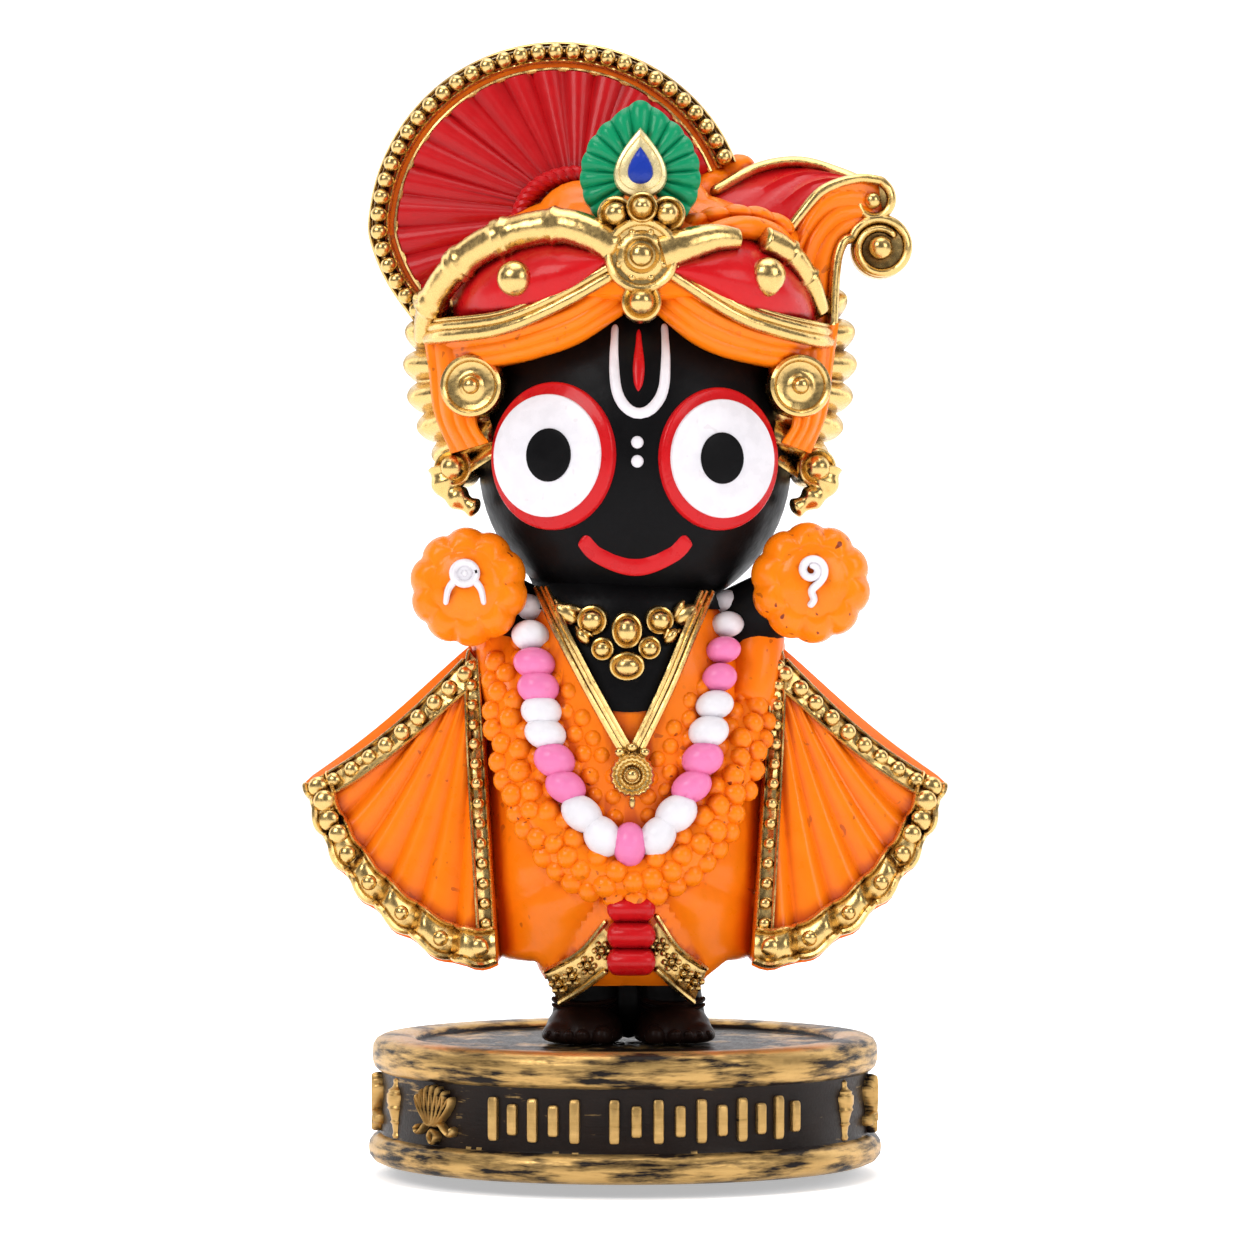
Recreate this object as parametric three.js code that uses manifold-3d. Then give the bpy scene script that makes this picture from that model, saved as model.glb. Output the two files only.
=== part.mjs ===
// A small painted resin figurine with large round eyes, standing on a round gilt plinth.
// Millimetres, +Z up, the front faces -Y. The origin is the middle of the plinth's underside.
import * as THREE from "three";
import { mergeVertices } from "three/addons/utils/BufferGeometryUtils.js";
import Module from "manifold-3d";

const wasm = await Module();
wasm.setup();

// Plinth sizes
const PLINTH_HEIGHT = 12.6;
const FOOT_RIM_RADIUS = 25.6;
const FOOT_RIM_HEIGHT = 2.9;
const TOP_RIM_INSET = 0.4;
const TOP_RIM_HEIGHT = 3.4;
const BAND_INSET = 1.3;
const RIM_ROUNDING = 1.1;
const LIP_WIDTH = 4.3;
const FLOOR_DEPTH = 0.8;
const EMBLEM_MARGIN = 0.25;
const EMBLEM_RELIEF = 0.95;
const EMBLEM_COUNT = 14;
const FIRST_EMBLEM_ANGLE = -48.5;
const LAST_EMBLEM_ANGLE = 62;
const STROKE_WIDTH = 1;
const TALL_STROKE = 4.2;
const SHORT_STROKE = 3;
const STROKE_PITCH = 2.1;
const STROKE_RELIEF = 0.55;
const SHORT_ROW = { from: -13.2, strokes: 5 };
const LONG_ROW = { from: -1, strokes: 10 };
const ROUND_SIDES = 36;

// Gap between the figure's feet and the plinth's floor
const SEAT_GAP = 0.3;

// The figure's height from its soles to its fan's top. All its carving is in hundredths of this height.
const FIGURE_HEIGHT = 99.9;
const share = FIGURE_HEIGHT / 100;

const topRimRadius = FOOT_RIM_RADIUS - TOP_RIM_INSET;
const bandRadius = FOOT_RIM_RADIUS - BAND_INSET;
const floorLevel = PLINTH_HEIGHT - FLOOR_DEPTH;
const feetLevel = floorLevel + SEAT_GAP;

const len = (shares) => shares * share;
const pt = (x, y, h) => new THREE.Vector3(len(x), len(y), feetLevel + len(h));
const row = (points) => points.map((p) => pt(...p));
const rad = THREE.MathUtils.degToRad;
const lerp = THREE.MathUtils.lerp;
const steps = (count) => Array.from({ length: count + 1 }, (_, i) => i / count);
const around = (count) => Array.from({ length: count }, (_, i) => (i / count) * 2 * Math.PI);

// Closed geometry as a solid that can be joined, turned right side out
function solid(geometry) {
  const bare = new THREE.BufferGeometry().setAttribute("position", geometry.getAttribute("position"));
  if (geometry.index) bare.setIndex(geometry.index);
  const merged = mergeVertices(bare, 1e-4);
  const position = merged.attributes.position;
  const index = merged.index.array;
  const kept = [];
  const [a, b, c] = [new THREE.Vector3(), new THREE.Vector3(), new THREE.Vector3()];
  let volume = 0;
  for (let i = 0; i < index.length; i += 3) {
    const [p, q, r] = [index[i], index[i + 1], index[i + 2]];
    if (p === q || q === r || r === p) continue;
    a.fromBufferAttribute(position, p);
    b.fromBufferAttribute(position, q);
    c.fromBufferAttribute(position, r);
    volume += a.dot(b.cross(c));
    kept.push(p, q, r);
  }
  const triVerts = new Uint32Array(volume < 0 ? kept.reverse() : kept);
  return new wasm.Manifold(new wasm.Mesh({ numProp: 3, vertProperties: position.array, triVerts }));
}

function joined(solids) {
  return solids.reduce((whole, piece) => whole.add(piece));
}

// The faces between neighbouring rings of points
function bands(ringCount, size) {
  const index = [];
  for (let i = 0; i + 1 < ringCount; i++) {
    for (let j = 0; j < size; j++) {
      const [a, b] = [i * size + j, i * size + ((j + 1) % size)];
      index.push(a, b, b + size, a, b + size, a + size);
    }
  }
  return index;
}

// Rings of points joined into a closed skin, each end closed round its middle
function loft(rings) {
  const size = rings[0].length;
  const points = rings.flat();
  const index = bands(rings.length, size);
  const ends = [
    { ring: rings[0], start: 0, middle: points.length },
    { ring: rings.at(-1), start: points.length - size, middle: points.length + 1 },
  ];
  ends.forEach(({ ring, start, middle }, end) => {
    points.push(ring.reduce((sum, p) => sum.add(p), new THREE.Vector3()).divideScalar(size));
    for (let j = 0; j < size; j++) {
      const [a, b] = [start + j, start + ((j + 1) % size)];
      index.push(middle, end ? a : b, end ? b : a);
    }
  });
  return solid(new THREE.BufferGeometry().setFromPoints(points).setIndex(index));
}

// A closed slab between a front and a back surface, both functions of u and v, sampled at the values given
function slab(front, back, us, vs) {
  const rings = us.map((u) => [...vs.map((v) => front(u, v)), ...vs.toReversed().map((v) => back(u, v))]);
  const size = rings[0].length;
  const index = bands(rings.length, size);
  const last = (rings.length - 1) * size;
  for (let j = 0; j + 1 < vs.length; j++) {
    const [a, b, c, d] = [j, j + 1, size - 2 - j, size - 1 - j];
    index.push(a, c, b, a, d, c, last + a, last + b, last + c, last + a, last + c, last + d);
  }
  return solid(new THREE.BufferGeometry().setFromPoints(rings.flat()).setIndex(index));
}

// An ellipsoid whose lower half may be shallower or deeper than its upper half
function egg([x, y, h], [wide, deep, up, down = up], segments = 8, rings = 5) {
  const sphere = new THREE.SphereGeometry(1, segments, rings).rotateX(Math.PI / 2);
  const position = sphere.attributes.position;
  const centre = pt(x, y, h);
  for (let i = 0; i < position.count; i++) {
    const z = position.getZ(i);
    position.setXYZ(
      i,
      centre.x + len(wide) * position.getX(i),
      centre.y + len(deep) * position.getY(i),
      centre.z + len(z > 0 ? up : down) * z,
    );
  }
  return solid(sphere);
}

const bead = (at, radius) => solid(new THREE.IcosahedronGeometry(len(radius)).translate(at.x, at.y, at.z));
const stud = (at, radius) => solid(new THREE.OctahedronGeometry(len(radius)).translate(at.x, at.y, at.z));

// A turned knob or disc facing the front: its profile is pairs of radius and height above its seat
function turned(centre, profile, segments = 8, sideways = 0) {
  const outline = profile.map(([r, d]) => new THREE.Vector2(len(r), len(d)));
  const lathe = new THREE.LatheGeometry(outline, segments);
  return solid(lathe.rotateX(Math.PI).rotateZ(rad(sideways)).translate(...centre.toArray()));
}

// A round cord along a smooth path
function cord(points, radius, count = 6, sides = 5) {
  const r = len(radius);
  const circle = around(sides).map((a) => new THREE.Vector2(r * Math.cos(a), r * Math.sin(a)));
  const section = new THREE.Shape(circle);
  const extrudePath = new THREE.CatmullRomCurve3(points);
  return solid(new THREE.ExtrudeGeometry(section, { steps: count, extrudePath }));
}

// A strip along a smooth path whose half width and half depth may change along it, its face to the front
function strip(points, wide, deep, count = 5, sides = 5) {
  const curve = new THREE.CatmullRomCurve3(points);
  const at = (size, t) => len(typeof size === "function" ? size(t) : size);
  const rings = steps(count).map((t) => {
    const middle = curve.getPointAt(t);
    const along = curve.getTangentAt(t);
    const across = new THREE.Vector3().crossVectors(along, new THREE.Vector3(0, -1, 0)).normalize();
    const out = new THREE.Vector3().crossVectors(across, along);
    return around(sides).map((angle) =>
      middle
        .clone()
        .addScaledVector(across, at(wide, t) * Math.cos(angle))
        .addScaledVector(out, at(deep, t) * Math.sin(angle)),
    );
  });
  return loft(rings);
}

function mesh(name, manifold, colour, roughness, metalness) {
  const { numProp, vertProperties, triVerts, numVert } = manifold.getMesh();
  const positions = new Float32Array(numVert * 3);
  for (let i = 0; i < numVert; i++) {
    positions.set(vertProperties.subarray(i * numProp, i * numProp + 3), i * 3);
  }
  const geometry = new THREE.BufferGeometry()
    .setAttribute("position", new THREE.BufferAttribute(positions, 3))
    .setIndex(new THREE.BufferAttribute(triVerts, 1));
  const material = new THREE.MeshStandardMaterial({ color: colour, roughness, metalness });
  const made = new THREE.Mesh(geometry, material);
  made.name = name;
  return made;
}

// Plinth: a turned drum with two rounded rims, a sunk floor and relief round its band
const bandTop = PLINTH_HEIGHT - TOP_RIM_HEIGHT;
const bandMiddle = (FOOT_RIM_HEIGHT + bandTop) / 2;
const emblemHalf = (bandTop - FOOT_RIM_HEIGHT) / 2 - EMBLEM_MARGIN;

function drum() {
  const lipInside = topRimRadius - LIP_WIDTH;
  const profile = [
    [0, 0],
    [FOOT_RIM_RADIUS - RIM_ROUNDING, 0],
    [FOOT_RIM_RADIUS, RIM_ROUNDING],
    [FOOT_RIM_RADIUS, FOOT_RIM_HEIGHT - RIM_ROUNDING],
    [bandRadius, FOOT_RIM_HEIGHT],
    [bandRadius, bandTop],
    [topRimRadius, bandTop + RIM_ROUNDING],
    [topRimRadius, PLINTH_HEIGHT - RIM_ROUNDING],
    [topRimRadius - RIM_ROUNDING, PLINTH_HEIGHT],
    [lipInside, PLINTH_HEIGHT],
    [lipInside, floorLevel],
    [0, floorLevel],
  ];
  const lathe = new THREE.LatheGeometry(profile.map(([r, z]) => new THREE.Vector2(r, z)), ROUND_SIDES);
  return solid(lathe.rotateX(Math.PI / 2));
}

// An outline round the band's middle, raised from the band at an angle from the front
function bandRelief(outline, angle, relief) {
  const root = RIM_ROUNDING;
  const shape = new THREE.Shape(outline.map(([x, y]) => new THREE.Vector2(x, y)));
  const block = new THREE.ExtrudeGeometry(shape, { depth: relief + root, bevelEnabled: false });
  block.translate(0, 0, bandRadius - root).rotateX(Math.PI / 2);
  block.rotateZ(rad(angle)).translate(0, 0, bandMiddle);
  return solid(block);
}

// A lotus: five petals fanned above a curled stem
function lotus(angle) {
  const petals = 5;
  const spread = 62;
  const [tip, notch, base] = [1.4 * emblemHalf, 0.95 * emblemHalf, 0.4 * emblemHalf];
  const outline = [];
  for (let i = 0; i < 2 * petals - 1; i++) {
    const lean = rad(lerp(-spread, spread, i / (2 * petals - 2)));
    const reach = i % 2 ? notch : tip;
    outline.push([reach * Math.sin(lean), reach * Math.cos(lean) - base]);
  }
  const stem = [[0.3, -0.4], [0.8, -0.7], [0, -1], [-0.8, -0.7], [-0.3, -0.4]];
  outline.push(...stem.map(([x, y]) => [x * emblemHalf, y * emblemHalf]));
  return bandRelief(outline, angle, EMBLEM_RELIEF);
}

// A mace: a turned head on a tapering grip
function mace(angle) {
  const side = [[0.14, -1], [0.2, -0.35], [0.42, 0.1], [0.42, 0.5], [0.22, 0.62], [0.1, 1]];
  const outline = [...side, ...side.toReversed().map(([x, y]) => [-x, y])];
  return bandRelief(outline.map(([x, y]) => [x * emblemHalf, y * emblemHalf]), angle, EMBLEM_RELIEF);
}

// Rows of plain strokes, tall and short in turn
function strokeRow({ from, strokes }) {
  return Array.from({ length: strokes }, (_, i) => {
    const angle = THREE.MathUtils.radToDeg((from + i * STROKE_PITCH) / bandRadius);
    const [w, h] = [STROKE_WIDTH / 2, (i % 2 ? SHORT_STROKE : TALL_STROKE) / 2];
    return bandRelief([[-w, -h], [w, -h], [w, h], [-w, h]], angle, STROKE_RELIEF);
  });
}

function plinth() {
  const sweep = 360 - (LAST_EMBLEM_ANGLE - FIRST_EMBLEM_ANGLE);
  const emblems = Array.from({ length: EMBLEM_COUNT }, (_, i) => {
    const angle = FIRST_EMBLEM_ANGLE - (sweep * i) / (EMBLEM_COUNT - 1);
    return i % 2 ? mace(angle) : lotus(angle);
  });
  return joined([drum(), ...emblems, ...strokeRow(SHORT_ROW), ...strokeRow(LONG_ROW)]);
}

// Head: an egg, fuller above the eyes
const head = { x: 1, y: -1.5, h: 57.6, wide: 15.6, deep: 14, up: 19, down: 15.4 };

function faceY(x, h) {
  const tall = h > head.h ? head.up : head.down;
  const inside = 1 - ((x - head.x) / head.wide) ** 2 - ((h - head.h) / tall) ** 2;
  return head.y - head.deep * Math.sqrt(Math.max(0, inside));
}

const onFace = (x, h, proud = 0) => pt(x, faceY(x, h) - proud, h);

function eye(x, h) {
  const slope = Math.atan2((x - head.x) / head.wide ** 2, (head.y - faceY(x, h)) / head.deep ** 2);
  const profile = [[0, -2.4], [7.2, -2.4], [7.2, 0], [5.9, 0.6], [0, 1]];
  return turned(onFace(x, h), profile, 14, THREE.MathUtils.radToDeg(slope));
}

function face() {
  const smile = [[-4.2, 49.9], [1.1, 47.2], [6, 49.9]].map(([x, h]) => onFace(x, h));
  return [
    egg([head.x, head.y, head.h], [head.wide, head.deep, head.up, head.down], 16, 9),
    eye(-7, 57.8),
    eye(9.1, 57.6),
    strip(smile, (t) => 0.7 + 0.5 * Math.sin(Math.PI * t), 0.7, 5, 4),
  ];
}

// Turban: a dome over the brow with two padded leaves, gilt rolls and a cloth band below
const turban = { x: 0.9, y: 0, h: 71.6, wide: 18.8, deep: 16.8, up: 13.8, down: 2 };

function onTurban(x, h, proud = 0) {
  const inside = 1 - ((x - turban.x) / turban.wide) ** 2 - ((h - turban.h) / turban.up) ** 2;
  return pt(x, turban.y - turban.deep * Math.sqrt(Math.max(0, inside)) - proud, h);
}

function paddedLeaf(inner, outer, rise, fall) {
  const bulge = 2.3;
  const sunk = 1.5;
  const spot = (u, v) => {
    const open = Math.sin(Math.PI * lerp(0.02, 0.8, u));
    return [lerp(inner[0], outer[0], u), lerp(inner[1], outer[1], u) + open * lerp(-fall, rise, v)];
  };
  const front = (u, v) => onTurban(...spot(u, v), 0.3 + bulge * Math.sin(Math.PI * v));
  return slab(front, (u, v) => onTurban(...spot(u, v), -sunk), steps(4), steps(3));
}

function turbanFront() {
  const giltLeft = [
    [-0.5, -16.2, 75.9], [-6.3, -16, 73], [-12.2, -13.4, 71.2], [-17.8, -8.5, 70.8], [-20, -2, 70.8],
  ];
  const giltRight = [
    [3.8, -16.2, 75.9], [9.2, -15.6, 72.8], [14.6, -12.4, 71], [19, -7.4, 70.3], [20.6, -1, 70.4],
  ];
  const clothLeft = [[1.2, -13.8, 72.6], [-3.9, -14.4, 70.3], [-11.7, -11.4, 68], [-17, -5, 68]];
  const clothRight = [[1.4, -13.8, 72.6], [7.3, -14.2, 70.7], [15.5, -9.4, 67.8], [19, -3, 67.6]];
  const rollLeft = [
    [-19.9, -4, 70.6], [-16.6, -10.3, 76.1], [-10.2, -13.7, 79.7], [-3.2, -15.3, 79.1], [-0.6, -15.6, 77.4],
  ];
  const rollRight = [
    [3.6, -15.6, 77.4], [7.3, -15, 78.5], [12.4, -12.4, 79.2], [16, -9.4, 76.8], [18, -7.2, 74.4],
  ];
  return [
    egg([turban.x, turban.y, turban.h], [turban.wide, turban.deep, turban.up, turban.down], 12, 7),
    paddedLeaf([-1.8, 76.5], [-17.2, 73], 3.5, 2.6),
    paddedLeaf([5, 76], [19.2, 72.6], 4.2, 2.2),
    bead(onTurban(-10.6, 75.1, 2.2), 1.7),
    bead(onTurban(13.9, 75.4, 2.2), 1.7),
    cord(row(giltLeft), 1.1, 4, 4),
    cord(row(giltRight), 1.1, 4, 4),
    strip(row(clothLeft), 1.9, 1.5, 3, 4),
    strip(row(clothRight), 1.9, 1.5, 3, 4),
    strip(row(rollLeft), (t) => 1.2 + 0.6 * Math.sin(Math.PI * t), 1.5, 5, 4),
    strip(row(rollRight), (t) => 1.7 - 0.8 * t, 1.5, 4, 4),
  ];
}

// Brooch over the brow, set from the turban, with the feather's eye standing behind it, set from the brooch
const broochRise = 5.7;
const featherRise = 7.7;
const brooch = { x: 1.55, y: -15.6, h: turban.h + broochRise };
const feather = { x: 1.5, y: -12.4, h: brooch.h + featherRise, ribs: 12, open: 140 };

function broochAndFeather() {
  const at = (x, h) => pt(brooch.x + x, brooch.y, brooch.h + h);
  const disc = [[0, -4], [3.7, -4], [3.7, 0.6], [1.8, 0.8], [0, 2.2]];
  const cup = (r) => [[0, -4], [r, -4], [r, 0.5], [0, 1.6]];
  const outline = (scale, y) =>
    Array.from({ length: 2 * feather.ribs + 1 }, (_, i) => {
      const angle = rad(lerp(-feather.open, feather.open, i / (2 * feather.ribs)));
      const pointed = 1.3 * Math.max(0, Math.cos(angle)) ** 2;
      const r = scale * (5.8 + pointed) * (i % 2 ? 1.03 : 0.95);
      return pt(feather.x + r * Math.sin(angle), feather.y + y, feather.h + r * Math.cos(angle));
    });
  const drop = (scale, y) =>
    around(10).map((angle) => {
      const r = scale * (1 + 0.4 * Math.max(0, Math.cos(angle)) ** 2);
      return pt(feather.x + r * Math.sin(angle), feather.y + y, feather.h - 0.2 + r * Math.cos(angle));
    });
  return [
    turned(at(0, 0), disc, 12),
    turned(at(0, -4.5), cup(1.95), 6),
    turned(at(0, 4.5), cup(1.6), 6),
    turned(at(-2.4, 4.1), cup(1.85), 6),
    turned(at(2.4, 4.1), cup(1.85), 6),
    loft([outline(0.96, 2.4), outline(1, -1)]),
    loft([drop(2.6, 0), drop(2.6, -1.9), drop(1.9, -2.6)]),
  ];
}

// Fan: a pleated half disc behind the turban, with a rim scalloped into beads
const fan = { x: -6.6, y: 1.4, h: 80.8, radius: 17.9, from: 24, to: 207, beads: 34, deep: 5 };
const hub = { x: -4.8, y: -2.5, h: 81.9 };

function fanPlume() {
  const middle = pt(hub.x, hub.y, hub.h);
  const behind = pt(hub.x, fan.y + fan.deep + 1, hub.h);
  const sections = Array.from({ length: 2 * fan.beads + 1 }, (_, i) => {
    const angle = rad(lerp(fan.from, fan.to, i / (2 * fan.beads)));
    const [pleat, scallop] = [i % 4 < 2 ? 0 : 1.1, i % 2];
    const at = (r, y) => pt(fan.x + r * Math.cos(angle), fan.y + y, fan.h + r * Math.sin(angle));
    return [
      middle,
      at(fan.radius - 0.9, 0.3 + pleat),
      at(fan.radius + 0.6 + 0.6 * scallop, -0.4 - 0.6 * scallop),
      at(fan.radius + 0.4, fan.deep),
      behind,
    ];
  });
  return [
    loft(sections),
    egg([-4.2, -4.2, 80.5], [5.2, 4.4, 4.6], 7, 5),
  ];
}

// Tail: the flared cloth end at the turban's right, gilt along its edges and rolled into two scrolls
function tail() {
  const lines = {
    far: [[9.4, 0, 85], [16.6, 2, 87.8], [20.6, 1.4, 87.3], [25.6, -1.6, 85.1]],
    near: [[15, -5, 79], [20, -4.4, 85], [23.4, -3.6, 85.8], [25.3, -3, 83.6]],
    brim: [[14.6, -4.6, 72], [16.6, -5.4, 79.4], [20.4, -5, 83.9], [25.2, -3.8, 82.4]],
    stem: [[17.4, -5.2, 70.6], [17.2, -5.2, 77.6], [20.6, -4.6, 82.1], [25.6, -3.4, 81.2]],
    lower: [[20.2, -4, 70.6], [21, -3.6, 78.8], [25.2, -2.8, 82.1], [27.8, -2.8, 80.6]],
  };
  const curve = {};
  for (const [name, points] of Object.entries(lines)) curve[name] = new THREE.CatmullRomCurve3(row(points));
  const thick = new THREE.Vector3(0, len(2.6), 0);
  const cloth = (...names) => {
    const front = (u, v) => {
      const at = v * (names.length - 1);
      const from = Math.min(Math.floor(at), names.length - 2);
      return curve[names[from]].getPointAt(u).lerp(curve[names[from + 1]].getPointAt(u), at - from);
    };
    return slab(front, (u, v) => front(u, v).add(thick), steps(4), steps(names.length - 1));
  };
  const scroll = (r) => [[0, -4], [r, -4], [r, 0.5], [0.5 * r, 0.4], [0, 1.5]];
  return [
    cloth("far", "near"),
    cloth("brim", "stem", "lower"),
    cord(row(lines.lower), 0.75, 4, 4),
    turned(pt(25.4, -3, 78.9), scroll(3.4), 8),
    turned(pt(24.6, -3.2, 83.8), scroll(2.3), 6),
  ];
}

// Sides of the head: cloth beside the cheek with a fluted gilt flare behind it, an ear disc and a knob
function sideCrown(side) {
  const points = 8;
  const rings = Array.from({ length: 2 * points + 1 }, (_, i) => {
    const turn = i / (2 * points);
    const angle = rad(lerp(24, -44, turn));
    const tip = (i % 2 ? 23.4 : 21.3) - 1.8 * turn;
    const at = (r, y) => pt(0.4 + side * r * Math.cos(angle), y, 66.4 + r * Math.sin(angle));
    return [at(14.6, -6.8), at(19.2, -4.6 - turn), at(tip, i % 2 ? 1 : 2.4), at(tip - 0.4, 5), at(14.6, 5)];
  });
  return loft(rings);
}

function sidesOfHead() {
  const disc = [[0, -4], [3.1, -4], [3, 0.7], [1.2, 0.3], [0, 1.1]];
  const knob = [[0, -3], [2, -3], [2, 0.2], [0, 1.4]];
  const sets = [
    { side: -1, ear: [-15.1, -8.4, 64.9], jaw: [-17, -5, 56.8] },
    { side: 1, ear: [17.2, -8.4, 65], jaw: [19, -5, 56.8] },
  ];
  const parts = sets.flatMap(({ side, ear, jaw }) => [
    sideCrown(side),
    turned(pt(...ear), disc, 9, side * 10),
    turned(pt(...jaw), knob, 6),
  ]);
  return [...parts, egg([0.7, 3.6, 65.4], [17.4, 12.8, 18.4], 9, 6)];
}

// Hands: round lobed palms on short arms
function palm(x, h, radius) {
  const lobes = 10;
  const ring = (scale, y, lobed) =>
    around(2 * lobes).map((angle, i) => {
      const r = radius * scale * (1 - (i % 2 ? 0 : lobed));
      return pt(x + r * Math.cos(angle), -9 + y, h + r * Math.sin(angle));
    });
  const boss = turned(pt(x, -10.4, h + 0.8), [[0, -1], [1.7, -1], [1.4, 0.4], [0, 0.5]], 6);
  const rings = [ring(0.85, 3.4, 0.06), ring(1, 1.4, 0.09), ring(0.82, -0.3, 0.07), ring(0.45, -1.3, 0)];
  return [loft(rings), boss];
}

function hands() {
  return [
    ...palm(-15.4, 45.2, 5.9),
    ...palm(18.3, 45.6, 6),
    strip(row([[-6, -1, 39.6], [-15, -7, 44.6]]), 3.4, 3, 1, 5),
    strip(row([[8, -1, 39.6], [18, -7, 44.8]]), 3.6, 3, 1, 5),
  ];
}

// Trunk: level, half width and half depth, from the hem to the throat
const trunkSizes = [
  [8, 13.4, 10.6],
  [16, 14.4, 11.5],
  [28, 14, 11.6],
  [38, 12.6, 11.4],
  [44, 10.6, 10.4],
  [49, 6, 6],
];

function trunkY(x, h, proud = 0) {
  const above = Math.max(1, trunkSizes.findIndex(([level]) => level >= h));
  const [below, over] = [trunkSizes[above - 1], trunkSizes[above]];
  const t = (h - below[0]) / (over[0] - below[0]);
  const [wide, deep] = [lerp(below[1], over[1], t), lerp(below[2], over[2], t)];
  return -0.5 - deep * Math.sqrt(Math.max(0, 1 - (x / wide) ** 2)) - proud;
}

const onTrunk = ([x, h, proud = 0]) => pt(x, trunkY(x, h, proud), h);

function trunk() {
  const rings = trunkSizes.map(([h, wide, deep]) =>
    around(14).map((angle) => pt(wide * Math.cos(angle), -0.5 + deep * Math.sin(angle), h)),
  );
  return loft(rings);
}

// Garlands: a thick rope of marigolds with a string of large beads laid inside it
function garlands() {
  const marigold = [
    [-11.4, 42], [-11, 31], [-8.2, 22.4], [-2.4, 17.6], [3.4, 17.7], [9.4, 23.2], [12, 32.4], [12.2, 42],
  ];
  const string = [[-9.4, 43], [-8.5, 34], [-4.3, 23.2], [0.4, 20.1], [5, 23.2], [9, 34], [9.8, 43]];
  const proud = 1.3;
  const [blooms, beads] = [10, 21];
  const bumpy = (count, crest, waist) => (t) => (Math.round(t * 2 * count) % 2 ? crest : waist);
  const beadSize = bumpy(beads, 1.75, 0.8);
  return [
    strip(marigold.map(onTrunk), bumpy(blooms, 2.75, 2), bumpy(blooms, 2.4, 1.8), 2 * blooms, 4),
    strip(string.map(([x, h]) => onTrunk([x, h, proud])), beadSize, beadSize, 2 * beads, 4),
  ];
}

function jewels() {
  const chainLine = (side) => [[side * 7.6, 43.4, 0], [side * 5, 36, 0.2], [0.7, 27.6, 0.5]];
  const chain = (side) => cord(chainLine(side).map(onTrunk), 0.8, 3, 4);
  const disc = [[0, -2], [2.2, -2], [2.2, 0.5], [1.2, 0.8], [0, 1.5]];
  const stones = [
    [0.15, 41, 1.5],
    [-3.2, 41.9, 1.2],
    [3.2, 41.9, 1.2],
    [-2.2, 39.1, 1.1],
    [2.4, 39.2, 1.1],
    [0.2, 37.4, 1.3],
  ];
  return [
    chain(-1),
    chain(1),
    turned(onTrunk([0.7, 26.7, 1]), disc, 10),
    ...stones.map(([x, h, r]) => bead(onTrunk([x, h, 0.4]), r)),
  ];
}

// Cape: a pleated wing at each side with raised borders, joined behind by a broad pleated back
const wing = {
  x: 14.8, y: -4.6, h: 39.9, inner: -4, outer: 49.4, closing: 7.4, pleats: 6,
  longest: 32.6, shortening: 0.205, forward: 4.4, sweep: 8.4, crease: 1.2, border: 0.8,
};

function wingPoint(side, u, v) {
  const spread = wing.outer - wing.inner - wing.closing * (1 - u * u);
  const angle = wing.inner + v * spread;
  const place = lerp(wing.inner, wing.outer, v);
  const r = u * (wing.longest - wing.shortening * Math.max(0, place + wing.inner));
  const borders = (u > 0.88 ? wing.border : 0) + (v > 0.9 ? wing.border : 0);
  const crease = Math.round(v * 2 * wing.pleats) % 2 ? wing.crease * u : 0;
  const y = wing.y + u * (wing.sweep * v - wing.forward) - crease - borders;
  return pt(side * (wing.x + r * Math.sin(rad(angle))), y, wing.h - r * Math.cos(rad(angle)));
}

const foldCount = 2 * wing.pleats;

// From the left tip (0) through the middle to the right tip (1), as a side and a place on that wing
function onCape(v) {
  const fold = Math.round(v * (2 * foldCount + 1));
  return fold <= foldCount ? [-1, 1 - fold / foldCount] : [1, (fold - foldCount - 1) / foldCount];
}

function cape() {
  const front = (u, v) => {
    const [side, place] = onCape(v);
    return wingPoint(side, u, place);
  };
  const back = (u, v) => {
    const point = front(u, v);
    const [, place] = onCape(v);
    const crease = Math.round(place * foldCount) % 2 ? 1 : 0;
    point.y = len(lerp(6.5 + 5 * u, 2.2, place ** 0.8) + crease * u);
    return point;
  };
  const upright = (side) => {
    const line = [[side * 13.2, -7.2, 37], [side * 13.3, -9, 24], [side * 13.1, -9.6, 10.6]];
    return cord(row(line), 0.95, 2, 4);
  };
  return [slab(front, back, [0.06, 0.5, 0.87, 0.89, 1], steps(2 * foldCount + 1)), upright(-1), upright(1)];
}

// Lower garment: a flared hem that rises in the middle, with a rolled tassel hanging over it
function dhoti() {
  const ring = (wide, deep, level, rise = 0) =>
    around(16).map((angle, i) => {
      const fold = i % 2 ? 1.03 : 0.98;
      const lift = rise * Math.max(0, -Math.sin(angle)) ** 3;
      return pt(wide * fold * Math.cos(angle), -0.8 + deep * fold * Math.sin(angle), level + lift);
    });
  const hem = (side) => {
    const line = [[side * 2.4, -10.2, 11], [side * 5, -9, 7.4], [side * 7.6, -6, 5.6]];
    return strip(row(line), 1.9, 1, 2, 4);
  };
  return [
    loft([ring(8, 7.6, 5.6, 5), ring(10.6, 10.2, 12), ring(12.6, 10.8, 20)]),
    ...[14, 11.5, 8.9].map((h) => egg([0.6, -10.8, h], [2.5, 2.4, 1.6], 6, 3)),
    hem(-1),
    hem(1),
  ];
}

function foot(side) {
  const x = side < 0 ? -4.1 : 4.8;
  const toes = [[-1.6, -6.3, 1.15], [0.3, -6.3, 0.95], [1.5, -5.8, 0.9], [2.7, -5, 0.8]];
  return [
    strip(row([[x - side * 0.4, 0, 12], [x, 0, 0.5]]), 3.2, 3.2, 1, 6),
    egg([x, -1, 0.6], [3.9, 6, 3.4], 8, 5),
    ...toes.map(([out, y, r]) => stud(pt(x + side * out, y, 0.7), r)),
  ];
}

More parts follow.
